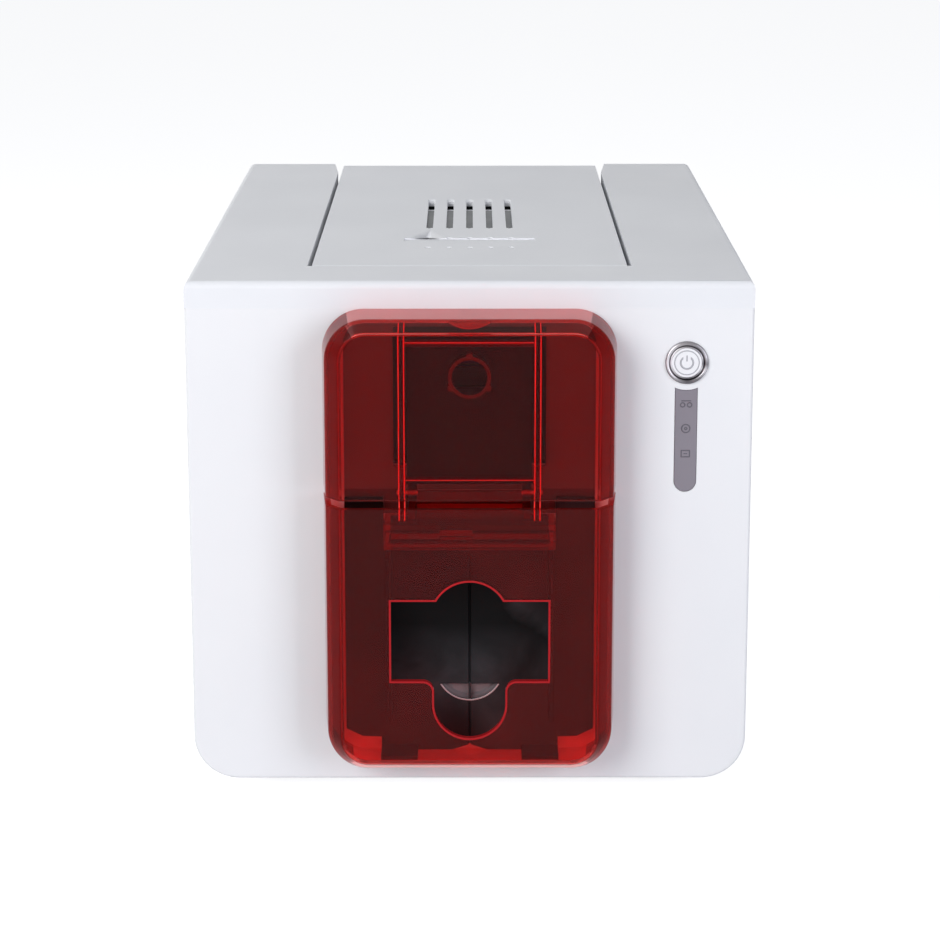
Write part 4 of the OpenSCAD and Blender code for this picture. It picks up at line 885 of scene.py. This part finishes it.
# two brackets beside it hold the door's pins
PIN_Y, PIN_Z = -150.5, 122
slot_pieces = []
for x in (-20.4, 20.4):
    left, right = x - 1.6, x + 1.6
    arm = block("door_bracket", (left, -147.3, 109.2), (right, -143, 124.1))
    soften(arm, 0.35, 2, 50)
    eye = bar("door_eye", (left, PIN_Y, PIN_Z), (right, PIN_Y, PIN_Z), 2.1, sides=48)
    combine(eye, "UNION", block("door_web", (left, PIN_Y, 119.9), (right, -147, 124.1)))
    soften(eye, 0.25, 2, 50)
    slot_pieces += [arm, eye]
complete(slot_frame, "printer", "frame_red", [frame_red, edge_painted_glow, black_nylon], "slot_frame")
complete(gather("door_brackets", *slot_pieces), "printer", "frame_red", frame_red)
dress(turned_steel, "door_pins")

# ---------------------------------------------------------------- feeder door
# A cover of clear red polycarbonate over the card stack, moulded with drafted sides and a
# bevelled face, open below and behind. The door frame is clipped in it and holds the pad.
FRONT_Y = -155
ROOT_HALF = 53.2
RIM_HALF = 51.6
CORNER = 15.3
WALL = 2.2


def cover_shell(name, low, high, root_y, round_end):
    """A clear cover: drawn out of its front view, with draft, a bevelled face and an even wall."""
    top = round_end == "top"
    z0, z1 = (low - 20, high) if top else (low, high + 20)
    bpy.ops.object.select_all(action="DESELECT")
    bpy.ops.mesh.primitive_plane_add(
        size=1,
        location=(0, root_y * MM, (z0 + z1) / 2 * MM),
        rotation=(math.radians(90), 0, 0),
    )
    shell = bpy.context.object
    shell.name = name
    shell.scale = (2 * ROOT_HALF * MM, (z1 - z0) * MM, 1)
    bpy.ops.object.transform_apply(location=True, rotation=True, scale=True)
    round_z, open_z = (z1, z0) if top else (z0, z1)
    choose(shell, "vertices", lambda v: abs(v.co.z / MM - round_z) < 1)
    bpy.ops.mesh.bevel(affect="VERTICES", offset=CORNER * MM, segments=18)
    bpy.ops.mesh.select_all(action="SELECT")
    bpy.ops.mesh.extrude_region_move(TRANSFORM_OT_translate={"value": (0, (RIM_Y - root_y) * MM, 0)})
    bpy.ops.transform.resize(
        value=(RIM_HALF / ROOT_HALF, 1, 1 - 0.4 / (z1 - z0)), center_override=(0, RIM_Y * MM, open_z * MM)
    )
    bpy.ops.mesh.inset(thickness=5 * MM, depth=(RIM_Y - FRONT_Y) * MM, use_even_offset=True)
    bpy.ops.object.mode_set(mode="OBJECT")
    choose(shell, "vertices", lambda v: (
        abs(v.co.y / MM - FRONT_Y) < 0.5 and abs(v.co.z / MM - round_z) < CORNER + 0.7
    ))
    bpy.ops.transform.translate(value=(0, 0, (1.2 if top else -1.2) * MM))
    bpy.ops.object.mode_set(mode="OBJECT")
    choose(shell, "polygons", lambda f: abs(f.normal.y) > 0.9 and f.center.y / MM > root_y - 0.5)
    bpy.ops.mesh.delete(type="FACE")
    bpy.ops.mesh.select_all(action="SELECT")
    cut_z = low if top else high
    bpy.ops.mesh.bisect(
        plane_co=(0, 0, cut_z * MM),
        plane_no=(0, 0, 1),
        clear_inner=top,
        clear_outer=not top,
    )
    bpy.ops.object.mode_set(mode="OBJECT")
    soften(shell, 0.55, 2, 20, 1)
    for face in shell.data.polygons:
        face.material_index = int(face.material_index == 1 and abs(face.normal.y) > 0.66)
    bpy.ops.object.modifier_add(type="SOLIDIFY")
    wall = shell.modifiers[-1]
    wall.thickness = WALL * MM
    wall.offset = -1
    wall.use_even_offset = True
    bpy.ops.object.modifier_apply(modifier=wall.name)
    # the side walls take a darker copy of the red, painted shade, and the top wall of the door a lighter
    # copy, painted light from above
    for face in shell.data.polygons:
        if face.material_index == 0 and abs(face.normal.x) > 0.42:
            face.material_index = 2
        elif face.material_index == 0 and abs(face.normal.y) < 0.3 and abs(face.normal.z) > 0.7:
            at_rim = abs(face.center.z / MM - cut_z) < 0.7
            face.material_index = 2 if at_rim else 3 * int(top)
    return shell


door = cover_shell("feeder_door_shell", 119.7, 185, PANEL_Y - 0.3, "top")
soften(door, 0.4, 2, 60, 1)
tab = bar("pull_tab", (0, RIM_Y, 193), (0, RIM_Y + 1.6, 193), 12.8, sides=96)
combine(tab, "INTERSECT", block("tab_band", (-9, RIM_Y - 1, 179), (9, RIM_Y + 3, 182.7)))
soften(tab, 0.3, 2, 40)
complete(door, "door", "clear_red", [door_red, rim_red, red_painted_shade, red_painted_light], "feeder_door")
complete(tab, "door", "clear_red", red_painted_light)
FRAME_BACK_Y = -143
frame_pieces = []
for side in (-1, 1):
    low_x, high_x = sorted((side * 23, side * 25.4))
    upright = block("upright", (low_x, -152.7, 120.8), (high_x, FRAME_BACK_Y, 182.3))
    choose(upright, "vertices", lambda v: v.co.y < -152 * MM and v.co.z > 180 * MM)
    bpy.ops.transform.translate(value=(0, 0, -4 * MM))
    bpy.ops.object.mode_set(mode="OBJECT")
    hook = block("hook", (low_x, -150, 111.1), (high_x, -145.6, 120.75))
    ear = bar("ear", (low_x, PIN_Y, PIN_Z), (high_x, PIN_Y, PIN_Z), 2.2, sides=48)
    axis = ((low_x - 1, PIN_Y, PIN_Z), (high_x + 1, PIN_Y, PIN_Z))
    combine(ear, "DIFFERENCE", bar("ear_hole", *axis, 1.05, sides=32))
    for piece, width in ((upright, 0.4), (hook, 0.4), (ear, 0.2)):
        soften(piece, width, 2, 50)
    combine(upright, "DIFFERENCE", bar("pin_hole", *axis, 2.21, sides=48))
    frame_pieces += [upright, hook, ear]
for z in (124.4, 174.6):
    cross = block("cross_bar", (-22.97, -148.5, z), (22.97, FRAME_BACK_Y, z + 1.6))
    soften(cross, 0.22, 2, 50)
    frame_pieces.append(cross)
door_frame = gather("door_frame_moulded", *frame_pieces)
# bevel faces of the bars and uprights take the glowing edge red: painted bright edge lines
for face in door_frame.data.polygons:
    on_edge = max(abs(c) for c in face.normal) < 0.99
    on_bar = abs(face.center.x) < 22.9 * MM and face.normal.z > 0.2 and face.center.y < -146 * MM
    on_upright = abs(face.center.x) > 22.9 * MM and abs(face.normal.x) > 0.2
    face.material_index = int(on_edge and (on_bar or on_upright))
complete(door_frame, "door", "frame_red", [frame_red, edge_painted_glow], "door_frame")
pad_black = moulded_plastic(
    "pad_black", "#1d1d1e", "#161617", (0.5, 0.65), 0.5, 0.2, Specular_IOR_Level=0.15
)
pad_painted_red_light = moulded_plastic("pad_painted_red_light", "#571d1f", "#4a181a", (0.3, 0.4), 0.5, 0.05)
BOSS_Z = 163.8
BOSS_RADIUS = 7.6
BOSS_FRONT_Y, BOSS_BACK_Y = FRONT_Y + 5, FRONT_Y + 9.5


def pad_bar(name, place, front, back, radius, sides=96):
    """A round bar that stands on the pad at a place (x, z)."""
    return bar(name, (place[0], front, place[1]), (place[0], back, place[1]), radius, sides=sides)


pad = block("stack_pad_moulded", (-22.4, FRONT_Y + 9, 126.6), (22.4, FRONT_Y + 10.5, 174))
boss = pad_bar("pad_boss", (0, BOSS_Z), BOSS_FRONT_Y, BOSS_BACK_Y, BOSS_RADIUS)
for turn in (90, 210, 330):
    angle = math.radians(turn)
    place = (BOSS_RADIUS * math.cos(angle), BOSS_Z + BOSS_RADIUS * math.sin(angle))
    combine(boss, "UNION", pad_bar("pad_nub", place, BOSS_FRONT_Y, BOSS_BACK_Y, 1.2, 24))
combine(pad, "UNION", boss)
combine(pad, "DIFFERENCE", pad_bar("pad_bore", (0, BOSS_Z), FRONT_Y + 4, FRONT_Y + 12, 6.4))
soften(pad, 0.35, 2, 50, 1)
# the pad's bevels and the boss's front take a dark red: painted red light on the black plastic
for face in pad.data.polygons:
    if face.center.y < (BOSS_FRONT_Y + 0.5) * MM:
        face.material_index = 1
complete(pad, "pad", "black_plastic", [pad_black, pad_painted_red_light], "stack_pad")

# ---------------------------------------------------------------- output hopper
# The same clear red polycarbonate, open above and clipped to the fascia, with a shaped
# cut-out so that the printed cards can be taken; a narrow lip stiffens its edge.
hopper = cover_shell("output_hopper_shell", 16.4, 116.7, PANEL_Y, "bottom")
soften(hopper, 0.45, 2, 60, 1)


NECK_HALF = 12.9
FOOT_Z = 43.6


def cutout(grow):
    """The hopper's cut-out as a solid, its outline moved outward by that many mm."""
    front, back = FRONT_Y - 2, RIM_Y
    throat = block("cutout_throat", (-16.4, front, 48.9), (16.4, back, 52.9 - grow))
    for x in (-16.9, 16.9):
        combine(throat, "DIFFERENCE", bar("fillet", (x, front - 1, 48.4), (x, back + 1, 48.4), 4 - grow))
    middle = block("cutout_middle", (-28.3 - grow, front, 52.4 - grow), (28.3 + grow, back, 82.4 + grow))
    return combine(
        middle, "UNION",
        bar("cutout_top", (0, front, 76), (0, back, 76), 13.6 + grow, sides=96),
        bar("cutout_foot", (0, front, FOOT_Z), (0, back, FOOT_Z), NECK_HALF + grow, sides=96),
        block("cutout_neck", (-NECK_HALF - grow, front, FOOT_Z), (NECK_HALF + grow, back, 55.6)),
        throat,
    )


combine(hopper, "DIFFERENCE", cutout(0.7))
lip = block("cutout_lip", (-40, FRONT_Y + 0.02, 20), (40, FRONT_Y + 2.2, 100))
combine(lip, "INTERSECT", cutout(0.68))
combine(lip, "DIFFERENCE", cutout(0))
complete(lip, "printer", "clear_red", rim_red)
complete(hopper, "printer", "clear_red", [hopper_red, rim_red, red_painted_shade, red_painted_light], "output_hopper")
